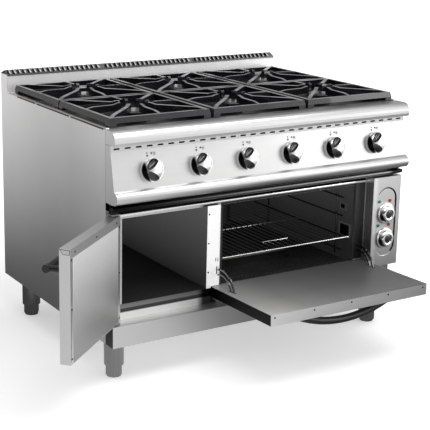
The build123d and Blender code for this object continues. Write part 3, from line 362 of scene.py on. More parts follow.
# Drip tray: painted shade under the roll, near black at both ends and lighter towards the right.
tray_sheet = brushed("tray_sheet", "x", *STEEL)
TRAY_TONES = ((0, 0.01), (150, 0.03), (300, 0.12), (600, 0.34), (1130, 0.42))
graded(tray_sheet, "X", (*TRAY_TONES, (1155, 0.03), (1200, 0.02)))
# Cabinet door liner: painted reflection, lighter towards the top, and a glow towards the top of its
# upright faces, painted light.
liner_sheet = brushed("door_liner_sheet", "z", *STEEL)
graded(liner_sheet, "Z", ((216, 0.55), (330, 0.8), (450, 1.1), (572, 1.2)))
upper_glow(liner_sheet, 0.03, 0.38, 0.28, 0.56)
# Oven door: painted shade on its left side, and painted reflection, lighter towards its left end.
oven_shell_sheet = brushed("oven_door_sheet", "x", *STEEL)
shaded_side(oven_shell_sheet, (-1, 0, 0), 0.015, 0.5, 0.9)
graded(oven_shell_sheet, "X", ((410, 1.6), (620, 1.38), (850, 1.08), (1068, 0.76)))
# Inside of the oven door: a faint glow and painted reflection, much lighter at its left end and towards
# the front.
door_inner = brushed(
    "oven_door_inner",
    "x",
    (0.12, 0.119, 0.117),
    (0.16, 0.159, 0.157),
    rough=(0.42, 0.5),
    metallic=0.2,
    glow=0.015,
)
principled(door_inner)[1].inputs["Specular IOR Level"].default_value = 0.15
INNER_TONES = ((410, 2.6), (560, 1.4), (700, 0.95), (840, 0.7), (930, 0.6), (1068, 0.6))
graded(door_inner, "X", INNER_TONES)
graded(door_inner, "Y", ((-375, 1.7), (-200, 1.05), (-20, 0.75)))
# Control box: painted reflection, darker low down and lighter at its left edge.
box_sheet = brushed("control_box_sheet", "x", *STEEL)
graded(box_sheet, "Z", ((240, 0.68), (330, 0.85), (450, 1.0), (582, 1.0)))
graded(box_sheet, "X", ((1068, 1.5), (1082, 1.42), (1096, 1.10), (1200, 1.02)))
# Flue hoods: painted shade on the faces that turn to the left.
hood_sheet = brushed("hood_sheet", "x", *STEEL)
shaded_side(hood_sheet, (-1.0, -0.2, 0.0), 0.02, -0.1, 0.5)

# Bright metal.
chrome = speckled("polished_chrome", *CHROME, (0.04, 0.1), metallic=1.0, depth=0.00002)
# Hob knobs: painted shade on the left of each dome, and a glow on the rest, painted highlight.
knob_chrome = speckled("knob_chrome", *CHROME, (0.10, 0.16), metallic=1.0, depth=0.00002)
shaded_side(knob_chrome, (-1.0, -0.25, 0.0), 0.006, 0.36, 0.62, glow=0.28)
# Oven dials: painted shade on the lower left of each bell, and a glow on the rest, painted highlight.
dial_chrome = speckled("dial_chrome", *CHROME, (0.10, 0.18), metallic=1.0, depth=0.00002)
shaded_side(dial_chrome, (-1.0, -0.75, -0.1), 0.03, 0.20, 0.70, glow=0.10)
wire = speckled("rack_wire", grey(0.62), grey(0.8), 200.0, (0.15, 0.25), metallic=1.0, depth=0.00003)
# Rack guides: a dark copy of the rack wire, painted shade.
guide_wire = speckled(
    "guide_wire", grey(0.10), grey(0.16), 200.0, (0.25, 0.35), metallic=1.0, depth=0.00003
)
brass = speckled(
    "machined_brass", (0.6, 0.45, 0.18), (0.75, 0.58, 0.28), 300.0, (0.25, 0.4), metallic=1.0, depth=0.0001
)
pipe = speckled(
    "gas_pipe", (0.25, 0.25, 0.26), (0.4, 0.4, 0.42), 200.0, (0.3, 0.45), metallic=0.8, depth=0.0001
)
element = speckled(
    "element_sheath", (0.08, 0.06, 0.05), (0.2, 0.16, 0.13), 200.0, (0.35, 0.5), metallic=0.8, depth=0.0001
)

# Enamel, cast iron and dark metal.
# Oven enamel: a faint glow, and more glow towards the top of its walls: painted light.
enamel = speckled(
    "oven_enamel",
    (0.012, 0.012, 0.013),
    (0.03, 0.03, 0.032),
    300.0,
    (0.22, 0.34),
    depth=0.0001,
    coat=0.3,
    glow=0.011,
)
upper_glow(enamel, 0.010, 0.032, 0.32, 0.52)
# Cabinet inside: near black, with a glow towards the top of its walls: painted light.
cabinet_grey = speckled("cabinet_sheet", grey(0.008), grey(0.014), 60.0, (0.5, 0.6), depth=0.00002)
upper_glow(cabinet_grey, 0.012, 0.075, 0.262, 0.54)
cast = speckled(
    "cast_iron",
    (0.005, 0.005, 0.006),
    (0.014, 0.015, 0.018),
    420.0,
    (0.22, 0.36),
    depth=0.0003,
    coat=0.55,
    shine=0.35,
)
# Painted highlight on the tops of the grates and burners.
lit_tops(cast, 0.16, 14.0)
black_steel = speckled(
    "blackened_steel", grey(0.004), grey(0.010), 400.0, (0.12, 0.2), depth=0.00005, coat=0.8
)
# Oven wall brackets: a faint glow, painted light.
bracket_grey = speckled(
    "bracket_grey", grey(0.05), grey(0.09), 200.0, (0.3, 0.4), metallic=0.3, glow=0.03
)
screw_dark = speckled(
    "screw_head", grey(0.008), grey(0.02), 300.0, (0.3, 0.4), depth=0.0001, shine=0.3
)
# Knob scoops: near-black gloss, painted shade in the hollows.
scoop_dark = speckled(
    "knob_scoop", grey(0.006), grey(0.01), 60.0, (0.06, 0.12), depth=0.00002, coat=0.6
)

# Plastic, rubber, wool, lamps and print.
black_plastic = speckled(
    "black_plastic", (0.012, 0.012, 0.013), (0.024, 0.024, 0.025), 700.0, (0.28, 0.42), depth=0.0001
)
dial_black = speckled(
    "dial_black", grey(0.01), grey(0.02), 500.0, (0.15, 0.25), depth=0.00005, coat=0.5
)
# Near black for real gaps, slots and seams, and for painted shadow and shade: under the roll, round the
# cabinet door's flap, in the hood mouths and along the dial track.
gap_and_shade_black = speckled("gap_and_shade_black", grey(0.003), grey(0.007), 300.0, (0.7, 0.9), depth=0.0001, shine=0.05)
# Brown-black strips in the gaps along the worktop's rims: painted shadow.
groove_dark = speckled(
    "groove_shadow", (0.035, 0.026, 0.02), (0.08, 0.055, 0.04), 300.0, (0.5, 0.7), depth=0.0001
)
seal = speckled("door_seal", grey(0.01), grey(0.025), 500.0, (0.6, 0.8), depth=0.0002)
wool = speckled(
    "mineral_wool", (0.35, 0.28, 0.14), (0.62, 0.54, 0.35), 400.0, (0.85, 1.0), depth=0.001
)
lamp_green = speckled("lamp_green", (0.0, 0.30, 0.12), (0.01, 0.42, 0.2), 60.0, (0.1, 0.2), coat=0.6)
lamp_red = speckled("lamp_red", (0.5, 0.005, 0.005), (0.7, 0.02, 0.015), 60.0, (0.1, 0.2), coat=0.6)
ink = speckled("printed_ink", grey(0.02), grey(0.04), 900.0, (0.5, 0.6), depth=0.00005)
ink_grey = speckled("printed_grey", grey(0.42), grey(0.5), 900.0, (0.5, 0.6), depth=0.00005)
ink_pink = speckled(
    "printed_pink", (0.75, 0.42, 0.40), (0.82, 0.55, 0.52), 900.0, (0.5, 0.6), depth=0.00005
)
scale_red = speckled(
    "scale_red", (0.30, 0.03, 0.015), (0.45, 0.07, 0.03), 900.0, (0.4, 0.5), depth=0.00005
)

PAINT = {
    "side_panel_left": side_sheet,
    "side_panel_right": side_sheet,
    "back_panel": steel_x,
    "base_panel": steel_x,
    "plinth": plinth_sheet,
    "worktop": worktop_sheet,
    "splashback": splash_steel,
    "flue_grille": flue_sheet,
    "fascia": fascia_sheet,
    "front_frame": frame_sheet,
    "centre_post": post_steel,
    "cabinet_box": cabinet_grey,
    "spill_pans": steel_dark,
    "drip_tray": tray_sheet,
    "cabinet_door_shell": cabinet_shell_sheet,
    "cabinet_door_liner": liner_sheet,
    "oven_door_shell": oven_shell_sheet,
    "oven_door_liner": door_inner,
    "control_box": box_sheet,
    "leg_tubes": leg_steel,
    "levelling_feet": leg_steel,
    "oven_cavity": enamel,
    "oven_insulation": wool,
    "oven_door_insulation": wool,
    "rack_guides": guide_wire,
    "oven_rack": wire,
    "heating_elements": element,
    "green_lamps": lamp_green,
    "red_lamps": lamp_red,
    "oven_thermostats": black_plastic,
    "cabinet_hinge_brackets": leg_steel,
    "body_screws": screw_dark,
    "cabinet_door_screws": screw_dark,
    "oven_door_screws": screw_dark,
    "gas_manifold": pipe,
    "gas_valves": brass,
    "burner_pipes": pipe,
    "burner_bases": cast,
    "burner_caps": cast,
    "oven_gasket": seal,
    "oven_temperature_knob": chrome,
    "oven_mode_knob": chrome,
    "grate_left": cast,
    "grate_middle": cast,
    "grate_right": cast,
    "cabinet_door_handle": black_plastic,
    "oven_door_handle": black_plastic,
    "oven_door_hinge_arms": black_steel,
}
for number in range(1, 7):
    PAINT[f"hob_knob_{number}"] = chrome
    PAINT[f"valve_stem_{number}"] = brass

for name, material in PAINT.items():
    obj = nodes[name]
    obj.data.materials.clear()
    obj.data.materials.append(material)

# ------------------------------------------------------------------ piece helpers
def finish_piece(obj, material, body, angle=35.0):
    """Shades a mesh object smooth up to an angle and lets it move with a body."""
    mesh = obj.data
    if material is not None:
        mesh.materials.append(material)
    mesh.polygons.foreach_set("use_smooth", [True] * len(mesh.polygons))
    mesh.set_sharp_from_angle(angle=math.radians(angle))
    if obj.name not in bpy.context.scene.collection.objects:
        bpy.context.scene.collection.objects.link(obj)
    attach(obj, body)
    return obj


def make_object(name, points, faces):
    """An object from points given in metres in its own frame."""
    mesh = bpy.data.meshes.new(name)
    mesh.from_pydata([tuple(point) for point in points], [], faces)
    shape = bmesh.new()
    shape.from_mesh(mesh)
    bmesh.ops.remove_doubles(shape, verts=shape.verts, dist=1e-6)
    bmesh.ops.recalc_face_normals(shape, faces=shape.faces)
    shape.to_mesh(mesh)
    shape.free()
    obj = bpy.data.objects.new(name, mesh)
    bpy.context.scene.collection.objects.link(obj)
    return obj


def lathe(name, profile, segments=72):
    """A turned solid from (radius, height) pairs in mm, about its own Z."""
    points, faces = [], []
    for radius, height in profile:
        for k in range(segments):
            turn = 2 * math.pi * k / segments
            points.append((radius * math.cos(turn) * MM, radius * math.sin(turn) * MM, height * MM))
    for i in range(len(profile) - 1):
        for k in range(segments):
            a, b = i * segments + k, i * segments + (k + 1) % segments
            faces.append((a, b, b + segments, a + segments))
    faces.append(tuple(reversed(range(segments))))
    last = (len(profile) - 1) * segments
    faces.append(tuple(range(last, last + segments)))
    return make_object(name, points, faces)


def extruded(name, section, x0, x1):
    """A solid along X from (y, z) corners in body-frame mm."""
    count = len(section)
    points = [row(x0, y, z) for y, z in section] + [row(x1, y, z) for y, z in section]
    faces = [tuple(range(count)), tuple(reversed(range(count, 2 * count)))]
    for k in range(count):
        n = (k + 1) % count
        faces.append((k, n, n + count, k + count))
    return make_object(name, points, faces)


def soften(obj, width, segments=2):
    """Rounds an object's edges by a width in mm."""
    shape = bmesh.new()
    shape.from_mesh(obj.data)
    bmesh.ops.bevel(
        shape,
        geom=list(shape.edges),
        offset=width * MM,
        segments=segments,
        affect="EDGES",
        profile=0.5,
    )
    shape.to_mesh(obj.data)
    shape.free()
    return obj


def slab(name, x0, x1, y0, y1, z0, z1, round_by=0.5):
    """A box with rounded edges, in body-frame mm."""
    obj = extruded(name, [(y0, z0), (y1, z0), (y1, z1), (y0, z1)], x0, x1)
    return soften(obj, round_by)


def ellipsoid(name, centre, axes, sizes):
    """A cutter with the given directions and half sizes in mm."""
    shape = bmesh.new()
    bmesh.ops.create_uvsphere(shape, u_segments=56, v_segments=36, radius=1.0)
    u, v, w = (Vector(axis).normalized() for axis in axes)
    for vert in shape.verts:
        c = vert.co
        vert.co = (Vector(centre) + u * c.x * sizes[0] + v * c.y * sizes[1] + w * c.z * sizes[2]) * MM
    bmesh.ops.recalc_face_normals(shape, faces=shape.faces)
    mesh = bpy.data.meshes.new(name)
    shape.to_mesh(mesh)
    shape.free()
    obj = bpy.data.objects.new(name, mesh)
    bpy.context.scene.collection.objects.link(obj)
    return obj


def carve(obj, cutters):
    for cutter in cutters:
        cut = obj.modifiers.new("carve", "BOOLEAN")
        cut.operation = "DIFFERENCE"
        cut.solver = "EXACT"
        cut.object = cutter
    graph = bpy.context.evaluated_depsgraph_get()
    carved = bpy.data.meshes.new_from_object(obj.evaluated_get(graph))
    obj.modifiers.clear()
    obj.data = carved
    for cutter in cutters:
        bpy.data.objects.remove(cutter)
    return obj


def frame_at(origin, x_dir, z_dir):
    """A placement in the row frame; origin in body-frame mm."""
    z = Vector(z_dir).normalized()
    x = Vector(x_dir).normalized()
    y = z.cross(x)
    turn = Matrix((x, y, z)).transposed().to_4x4()
    return Matrix.Translation(row(*origin)) @ turn


def swing(pivot, axis, degrees_):
    """The move of a door from closed to its place at rest."""
    centre = row(*pivot)
    turn = Matrix.Rotation(math.radians(degrees_), 4, axis)
    return Matrix.Translation(centre) @ turn @ Matrix.Translation(-centre)


CABINET_PIVOT = (20.8, -21.5, 0.0)
CABINET_DOOR_OPEN = -139.8
CABINET_SWING = swing(CABINET_PIVOT, "Z", CABINET_DOOR_OPEN)

# ------------------------------------------------------------------ hob knobs
SLOPE_TOP = Vector((0.0, -33.7, 783.0))
SLOPE_BOTTOM = Vector((0.0, -58.0, 660.0))
SLOPE_UP = (SLOPE_TOP - SLOPE_BOTTOM).normalized()
SLOPE_OUT = Vector((1.0, 0.0, 0.0)).cross(SLOPE_UP)
KNOB_X = [140.0 + 184.0 * i for i in range(6)]
KNOB_Z = 715.5
KNOB_RADIUS = 38.5
DOME_FOOT = 9.0
DOME_RISE = 25.0
DOME_TURNS = range(0, 90, 6)
SCOOP_SIZES = (12.5, 29.0, 13.5)
SCOOP_LIFT = 9.0
SCOOP_REACH = 1.02


def on_slope(x, z, out=0.0):
    """A body-frame point on the fascia slope, raised by out."""
    along = (z - SLOPE_BOTTOM.z) / SLOPE_UP.z
    point = SLOPE_BOTTOM + SLOPE_UP * along + SLOPE_OUT * out
    return (x, point.y, point.z)


def scoop(side):
    """The ellipsoid that hollows one side of a knob, as its middle, axes and half sizes."""
    inner, outer = Vector((-25.0, 3.0 * side, 25.0)), Vector((15.0, 35.0 * side, 16.0))
    along = (outer - inner).normalized()
    middle = (inner + outer) / 2
    away = Vector((middle.x, middle.y, 30.0)).normalized()
    across = along.cross(away).normalized()
    away = across.cross(along).normalized()
    return middle + away * SCOOP_LIFT, (across, along, away), SCOOP_SIZES


def knob_shape(name):
    """A dome with two scoops, which leave a grip between them; the scoops are dark, painted shade."""
    turns = [math.radians(degrees_) for degrees_ in DOME_TURNS]
    dome = [(KNOB_RADIUS * math.cos(t), DOME_FOOT + DOME_RISE * math.sin(t)) for t in turns]
    skirt = [(36.0, 5.0), (38.2, 5.6), (KNOB_RADIUS, 7.0)]
    obj = lathe(name, skirt + dome + [(1.2, DOME_FOOT + DOME_RISE)], 96)
    scoops = [scoop(side) for side in (1.0, -1.0)]
    carve(obj, [ellipsoid("scoop", *each) for each in scoops])
    obj.data.materials.append(knob_chrome)
    obj.data.materials.append(scoop_dark)
    # Faces inside the scoops get the near-black material: painted shade.
    for face in obj.data.polygons:
        spot = face.center / MM
        for middle, axes, sizes in scoops:
            reach = Vector([(spot - middle).dot(axis) / size for axis, size in zip(axes, sizes)])
            if reach.length < SCOOP_REACH:
                face.material_index = 1
    return obj


for number, x in enumerate(KNOB_X, start=1):
    knob = knob_shape(f"hob_knob_{number}_cap")
    knob.matrix_world = frame_at(on_slope(x, KNOB_Z), (1, 0, 0), SLOPE_OUT)
    finish_piece(knob, None, f"knob_{number}", 40.0)
    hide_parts(f"hob_knob_{number}")

# ------------------------------------------------------------------ printed marks by the hob knobs
# Each mark is (right of the knob, above its centre, radius, ink).
MARKS = (
    (-11.0, 46.0, 3.4, ink),
    (-11.0, 54.5, 2.4, ink),
    (5.0, 52.5, 3.1, ink),
    (15.0, 50.5, 5.4, ink_grey),
    (52.0, 2.0, 2.6, ink_pink),
)
for number, x in enumerate(KNOB_X, start=1):
    for k, (dx, dz, radius, colour) in enumerate(MARKS, start=1):
        outline = [(radius, -0.2), (radius, 0.15), (radius * 0.8, 0.3)]
        mark = lathe(f"knob_{number}_mark_{k}", outline, 20)
        mark.matrix_world = frame_at(on_slope(x + dx, KNOB_Z + dz), (1, 0, 0), SLOPE_OUT)
        finish_piece(mark, colour, "casing")

# ------------------------------------------------------------------ oven dials
PANEL_Y = -42.5
DIAL_X = 1134.0
DIAL_GAP = 2.0
BELL_TURNS = range(0, 91, 9)
TICK_RADIUS = 35.4
TICK_FACE = 4.7
TICK_START = 128.0
TICK_SPAN = 110.0
for node, body, z, notches in (
    ("oven_temperature_knob", "temperature_knob", 443.4, 9),
    ("oven_mode_knob", "mode_knob", 349.7, 6),
):
    place = frame_at((DIAL_X, PANEL_Y - DIAL_GAP, z), (1, 0, 0), (0, -1, 0))
    turns = [math.radians(degrees_) for degrees_ in BELL_TURNS]
    bell = [(37.0, 0.0), (38.8, 0.8), (39.0, 2.5), (38.0, 4.0), (33.0, 5.0)]
    bell += [(20.0 + 12.0 * math.cos(t), 6.0 + 17.0 * math.sin(t)) for t in turns]
    bell += [(17.5, 22.6), (15.8, 21.0), (15.0, 19.0), (1.0, 18.2)]
    cap = lathe(f"{node}_cap", bell, 96)
    cap.matrix_world = place
    finish_piece(cap, dial_chrome, body, 40.0)
    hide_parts(node)
    disc = lathe(f"{node}_disc", [(13.6, 18.0), (13.8, 19.6), (12.5, 20.2), (1.0, 20.4)], 48)
    disc.matrix_world = place
    finish_piece(disc, dial_black, body)
    for k in range(notches):
        turn = math.radians(TICK_START + TICK_SPAN * k / (notches - 1))
        tick = slab(f"{node}_tick_{k + 1}", -0.8, 0.8, -2.2, 2.2, -0.3, 0.3, 0.15)
        tick.data.transform(Matrix.Translation(-row(0, 0, 0)))
        spot = Vector((TICK_RADIUS * math.cos(turn), TICK_RADIUS * math.sin(turn), TICK_FACE)) * MM
        upright = Matrix.Rotation(turn - math.pi / 2, 4, "Z")
        tick.matrix_world = place @ Matrix.Translation(spot) @ upright
        finish_piece(tick, scale_red, body)

# ------------------------------------------------------------------ flue louvres
FLUE_FRONT = Vector((0.0, 776.0, 917.0))
FLUE_APEX = Vector((0.0, 804.0, 932.0))
FLUE_SCREWS = (410.0, 807.0)
HOODS = 58
HOOD_FIRST = 16.0
HOOD_PITCH = 20.3
HOOD_MIDDLE = 16.0
HOOD_HALF = 11.5
HOOD_RISE = 8.0
HOOD_LENGTH = 15.0
HOOD_RINGS = 6
HOOD_STEPS = 12


def hoods():
    """A row of small pressed hoods on the flue slope, each open to the left, with a dark mouth: a black
    sheet inside each mouth, painted shade.
    """
    up = (FLUE_APEX - FLUE_FRONT).normalized()
    out = Vector((1.0, 0.0, 0.0)).cross(up)
    turns = [math.pi * k / HOOD_STEPS for k in range(HOOD_STEPS + 1)]
    count = len(turns)
    points, faces, dark_points, dark_faces = [], [], [], []
    for i in range(HOODS):
        x = HOOD_FIRST + HOOD_PITCH * i
        if any(abs(x - screw) < HOOD_PITCH / 2 for screw in FLUE_SCREWS):
            continue
        start = len(points)
        for r in range(HOOD_RINGS):
            t = r / (HOOD_RINGS - 1)
            half = HOOD_HALF * math.sqrt(1.0 - 0.8 * t * t)
            rise = HOOD_RISE * math.cos(t * math.pi / 2)
            for turn in turns:
                lean = -3.0 * math.sin(turn)
                p = FLUE_FRONT + up * (HOOD_MIDDLE + half * math.cos(turn))
                p += out * (rise * math.sin(turn) - 0.1)
                points.append(row(x - 7.0 + HOOD_LENGTH * t + lean, p.y, p.z))
        for r in range(HOOD_RINGS - 1):
            for k in range(HOOD_STEPS):
                a = start + r * count + k
                faces.append((a, a + 1, a + count + 1, a + count))
        first = len(dark_points)
        for turn in turns:
            p = FLUE_FRONT + up * (HOOD_MIDDLE + 10.6 * math.cos(turn))
            p += out * (7.2 * math.sin(turn) + 0.15)
            dark_points.append(row(x - 5.5 - 2.6 * math.sin(turn), p.y, p.z))
        dark_faces.append(tuple(range(first, first + count)))
    shell = make_object("flue_hoods", points, faces)
    thick = shell.modifiers.new("gauge", "SOLIDIFY")
    thick.thickness = 0.8 * MM
    thick.offset = -1.0
    finish_piece(shell, hood_sheet, "casing", 50.0)
    # The black half discs inside the mouths are painted shade.
    shade = make_object("flue_hood_mouth_shade", dark_points, dark_faces)
    finish_piece(shade, gap_and_shade_black, "casing")


hoods()

# ------------------------------------------------------------------ worktop rims
RIM_SECTION = [(6.0, 849.6), (770.0, 849.6), (770.0, 852.0), (768.0, 853.4), (8.0, 853.4), (6.0, 852.0)]
RIM_WIDTH = (4.0, 17.0)
GROOVE_DEPTH = (-0.35, 2.4)
GROOVES = ((14.0, 250.0), (262.0, 520.0), (532.0, 690.0))
for side, x_edge, inward in (("left", 0.0, 1.0), ("right", 1200.0, -1.0)):
    x0, x1 = sorted(x_edge + inward * offset for offset in RIM_WIDTH)
    bead = soften(extruded(f"worktop_rim_{side}", RIM_SECTION, x0, x1), 0.8)
    finish_piece(bead, steel_rim, "casing")
    x0, x1 = sorted(x_edge + inward * offset for offset in GROOVE_DEPTH)
    for k, (y0, y1) in enumerate(GROOVES, start=1):
        # Dark strips in the gap beside each rim: painted shadow.
        groove = slab(f"rim_gap_shadow_{side}_{k}", x0, x1, y0, y1, 846.6, 850.6, 0.3)
        finish_piece(groove, groove_dark, "casing")


# ------------------------------------------------------------------ strips on the front
def strip(name, box, material, body="casing", round_by=0.5, move=None):
    """A thin rounded bar; box is x0, x1, y0, y1, z0, z1 in body-frame mm."""
    piece = slab(name, *box, round_by)
    if move is not None:
        piece.data.transform(move)
    return finish_piece(piece, material, body)


FRAME_LEFT = 12.0
FRAME_RIGHT = 1069.0
frame_line = (FRAME_LEFT, FRAME_RIGHT)
strip("roll_shadow", (4.0, 1196.0, -37.0, -4.0, 607.0, 613.5), gap_and_shade_black, round_by=1.5)
tray_line = (4.0, 1196.0, -28.5, -26.4, 600.5, 606.8)
strip("tray_line_upper", tray_line, gap_and_shade_black, body="tray")
strip("opening_gap_band", (*frame_line, -1.6, 0.2, 568.2, 583.0), gap_and_shade_black)
# The lip over the openings, whose bright face is a painted highlight.
strip("opening_top_lip", (*frame_line, -2.6, 0.2, 560.6, 567.6), highlight_steel, round_by=1.0)
# A near-black strip on the frame at the right of the oven opening: painted shade.
strip("right_frame_shade_strip", (1020.0, FRAME_RIGHT, -0.9, 0.2, 272.0, 560.0), frame_shade)
# A bright bar on the rack: painted highlight.
highlight_box = (678.0, 792.0, 88.0, 93.0, 360.8, 363.4)
strip("rack_highlight_bar", highlight_box, highlight_steel, body="rack", round_by=1.0)
# Small brackets on the oven's right wall, with a faint glow as painted light; their hollows are near
# black.
BRACKETS = ((37.0, 72.0, 449.0, 476.0), (8.0, 72.0, 350.0, 402.0))
for k, (y0, y1, z0, z1) in enumerate(BRACKETS, start=1):
    plate = (1013.0, 1017.2, y0, y1, z0, z1)
    strip(f"oven_wall_bracket_{k}", plate, bracket_grey, round_by=1.0)
    hollow = (1012.4, 1013.6, y0 + 6.0, y1 - 8.0, z0 + 6.0, z1 - 5.0)
    strip(f"oven_wall_bracket_hollow_{k}", hollow, gap_and_shade_black)
POST_FRONT = 0.0
POST_SLOTS = (
    (422.5, 425.5, 355.0, 367.0),
    (431.0, 434.0, 353.0, 365.0),
    (426.5, 430.5, 308.0, 336.0),
)
for k, (x0, x1, z0, z1) in enumerate(POST_SLOTS, start=1):
    slot_box = (x0, x1, POST_FRONT - 0.25, POST_FRONT + 0.4, z0, z1)
    strip(f"post_slot_{k}", slot_box, gap_and_shade_black, round_by=0.2)
for end, z0, z1 in (("upper", 401.0, 546.0), ("lower", 226.0, 392.0)):
    strip(
        f"cabinet_door_seam_{end}",
        (401.6, 403.0, -4.2, -3.6, z0, z1),
        gap_and_shade_black,
        body="cabinet_door",
        round_by=0.2,
        move=CABINET_SWING,
    )
FLAP = [(-36.2, 570.0), (-6.2, 569.0), (-7.6, 557.0), (-26.4, 557.0)]
FLAP_SHADOW = [(-39.4, 571.6), (-4.6, 570.4), (-6.4, 555.4), (-27.0, 555.4)]
for name, section, x1, material in (
    ("cabinet_door_flap_shadow", FLAP_SHADOW, 405.9, gap_and_shade_black),
    ("cabinet_door_flap", FLAP, 406.3, steel_x),
):
    flap = extruded(name, section, 405.3, x1)
    flap.data.transform(CABINET_SWING)
    finish_piece(flap, material, "cabinet_door")

# ------------------------------------------------------------------ edge of the dial track
TRACK_X = 1136.0
TRACK_TOP = 542.0
TRACK_BOTTOM = 282.0
TRACK_HALF = 46.0
SHADOW_WIDTH = 5.0
LIGHT_WIDTH = 2.0


def track_edge(name, turns, y, inner, outer, material):
    """A thin curved line along the rim of the dial track, over the given turns of its outline."""
    points = []
    for degrees_ in range(*turns, 6):
        turn = math.radians(degrees_)
        upper = math.sin(turn) >= 0
        middle = TRACK_TOP - TRACK_HALF if upper else TRACK_BOTTOM + TRACK_HALF
        for radius in (inner, outer):
            points.append(row(TRACK_X + radius * math.cos(turn), y, middle + radius * math.sin(turn)))
    faces = [(2 * k, 2 * k + 1, 2 * k + 3, 2 * k + 2) for k in range(len(points) // 2 - 1)]
    edge = make_object(name, points, faces)
    thick = edge.modifiers.new("gauge", "SOLIDIFY")
    thick.thickness = 0.5 * MM
    finish_piece(edge, material, "casing")


# The dark line along the right and top of the track is painted shadow; the bright line along its lower
# left is a painted highlight.
shadow_rim = (TRACK_HALF - SHADOW_WIDTH, TRACK_HALF)
track_edge("dial_track_shadow", (-48, 151), PANEL_Y - 0.3, *shadow_rim, gap_and_shade_black)
light_rim = (TRACK_HALF, TRACK_HALF + LIGHT_WIDTH)
track_edge("dial_track_light", (-168, -47), PANEL_Y - 3.2, *light_rim, highlight_steel)

# ------------------------------------------------------------------ floor, world and lights
def light_path(tree):
    """1 for what the camera sees directly, 0 for reflections and bounced light."""
    return tree.nodes.new("ShaderNodeLightPath").outputs["Is Camera Ray"]


def around(tree, vector, stops):
    """A brightness that changes with the direction round the object: 0 is the front, 90 the right."""
    split = tree.nodes.new("ShaderNodeSeparateXYZ")
    tree.links.new(vector, split.inputs["Vector"])
    back = tree.nodes.new("ShaderNodeMath")
    back.operation = "MULTIPLY"
    back.inputs[1].default_value = -1.0
    tree.links.new(split.outputs["Y"], back.inputs[0])
    angle = tree.nodes.new("ShaderNodeMath")
    angle.operation = "ARCTAN2"
    tree.links.new(split.outputs["X"], angle.inputs[0])
    tree.links.new(back.outputs[0], angle.inputs[1])
    turn = ramp(tree, angle.outputs[0], 0.0, 1.0, -math.pi, math.pi)
    places = [((degrees_ + 180.0) / 360.0, level) for degrees_, level in stops]
    return curve_of(tree, turn, places, smooth=True), split.outputs["Z"]


SKY = (
    (-180, 0.55), (-145, 0.50), (-118, 0.18), (-92, 0.02), (-24, 0.02),
    (8, 0.42), (28, 0.90), (46, 1.3), (105, 1.0), (140, 0.52), (179, 0.55),
)
FLOOR_NEAR = (
    (-180, 0.30), (-150, 0.10), (-118, 0.12), (-88, 0.70), (-8, 0.85),
    (14, 0.42), (30, 0.16), (110, 0.22), (179, 0.30),
)
FLOOR_FAR = (
    (-180, 0.85), (-150, 0.85), (-110, 0.85), (-75, 0.85), (0, 0.95),
    (26, 1.25), (42, 0.95), (110, 0.9), (179, 0.85),
)
SKY_TOP = 0.75
SKY_BLEND = (0.45, 0.9)
FLOOR_FADE = (0.9, 3.0)
FLOOR_BLEND = (1.3, 4.6)
FLOOR_REACH = 20.0


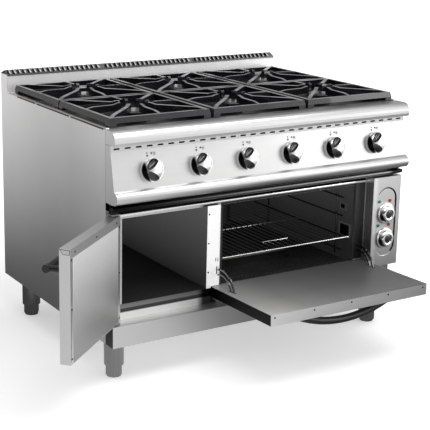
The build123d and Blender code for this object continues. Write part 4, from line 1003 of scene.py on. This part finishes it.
# The floor glows, more with distance, so the camera sees it pale; in reflections and bounced light it
# shows a glow set by the direction round the object, darker near it: painted light and painted shade.
def make_floor():
    material, tree, shader = node_material("floor_pale")
    out = next(n for n in tree.nodes if n.type == "OUTPUT_MATERIAL")
    shader.inputs["Roughness"].default_value = 0.95
    shader.inputs["Specular IOR Level"].default_value = 0.1
    pale = tint(tree, noise(tree, grey(2.0)), grey(0.80), grey(0.84))
    tree.links.new(pale, shader.inputs["Base Color"])
    coords = tree.nodes.new("ShaderNodeTexCoord")
    length = tree.nodes.new("ShaderNodeVectorMath")
    length.operation = "LENGTH"
    tree.links.new(coords.outputs["Object"], length.inputs[0])
    shader.inputs["Emission Color"].default_value = WHITE
    fade = ramp(tree, length.outputs["Value"], 0.45, 0.95, *FLOOR_FADE)
    tree.links.new(fade, shader.inputs["Emission Strength"])
    bounce = tree.nodes.new("ShaderNodeEmission")
    near, _ = around(tree, coords.outputs["Object"], FLOOR_NEAR)
    far, _ = around(tree, coords.outputs["Object"], FLOOR_FAR)
    level = tree.nodes.new("ShaderNodeMix")
    tree.links.new(ramp(tree, length.outputs["Value"], 0.0, 1.0, *FLOOR_BLEND), level.inputs["Factor"])
    tree.links.new(near, level.inputs["A"])
    tree.links.new(far, level.inputs["B"])
    tree.links.new(level.outputs["Result"], bounce.inputs["Strength"])
    mix = tree.nodes.new("ShaderNodeMixShader")
    tree.links.new(light_path(tree), mix.inputs["Fac"])
    tree.links.new(bounce.outputs["Emission"], mix.inputs[1])
    tree.links.new(shader.outputs["BSDF"], mix.inputs[2])
    tree.links.new(mix.outputs["Shader"], out.inputs["Surface"])
    mesh = bpy.data.meshes.new("floor")
    corners = [(FLOOR_REACH * x, FLOOR_REACH * y, 0) for x, y in ((-1, -1), (1, -1), (1, 1), (-1, 1))]
    mesh.from_pydata(corners, [], [(0, 1, 2, 3)])
    mesh.materials.append(material)
    floor = bpy.data.objects.new("floor", mesh)
    bpy.context.scene.collection.objects.link(floor)


def make_world():
    """A plain studio, dim towards the front left and bright to the right; the camera itself sees white."""
    world = bpy.data.worlds.new("studio")
    world.use_nodes = True
    tree = world.node_tree
    background = tree.nodes["Background"]
    coords = tree.nodes.new("ShaderNodeTexCoord")
    side, height = around(tree, coords.outputs["Generated"], SKY)
    blend = tree.nodes.new("ShaderNodeMix")
    blend.inputs["B"].default_value = SKY_TOP
    tree.links.new(ramp(tree, height, 0.0, 1.0, *SKY_BLEND), blend.inputs["Factor"])
    tree.links.new(side, blend.inputs["A"])
    white = tree.nodes.new("ShaderNodeMix")
    white.inputs["B"].default_value = 1.0
    tree.links.new(light_path(tree), white.inputs["Factor"])
    tree.links.new(blend.outputs["Result"], white.inputs["A"])
    tree.links.new(white.outputs["Result"], background.inputs["Strength"])
    background.inputs["Color"].default_value = WHITE
    bpy.context.scene.world = world
    bpy.context.scene.view_settings.view_transform = "Standard"


def area_light(name, where, target, size, power):
    data = bpy.data.lights.new(name, "AREA")
    data.shape = "RECTANGLE"
    data.size, data.size_y = size
    data.energy = power
    light = bpy.data.objects.new(name, data)
    light.location = Vector(where)
    light.rotation_mode = "QUATERNION"
    light.rotation_quaternion = (Vector(target) - Vector(where)).to_track_quat("-Z", "Y")
    bpy.context.scene.collection.objects.link(light)


make_floor()
make_world()
area_light("key_top", (0.3, -1.4, 3.0), (0.1, 0.0, 0.6), (3.0, 1.2), 40.0)
area_light("front_right", (3.0, -2.4, 1.3), (0.2, -0.2, 0.6), (1.2, 1.8), 22.0)
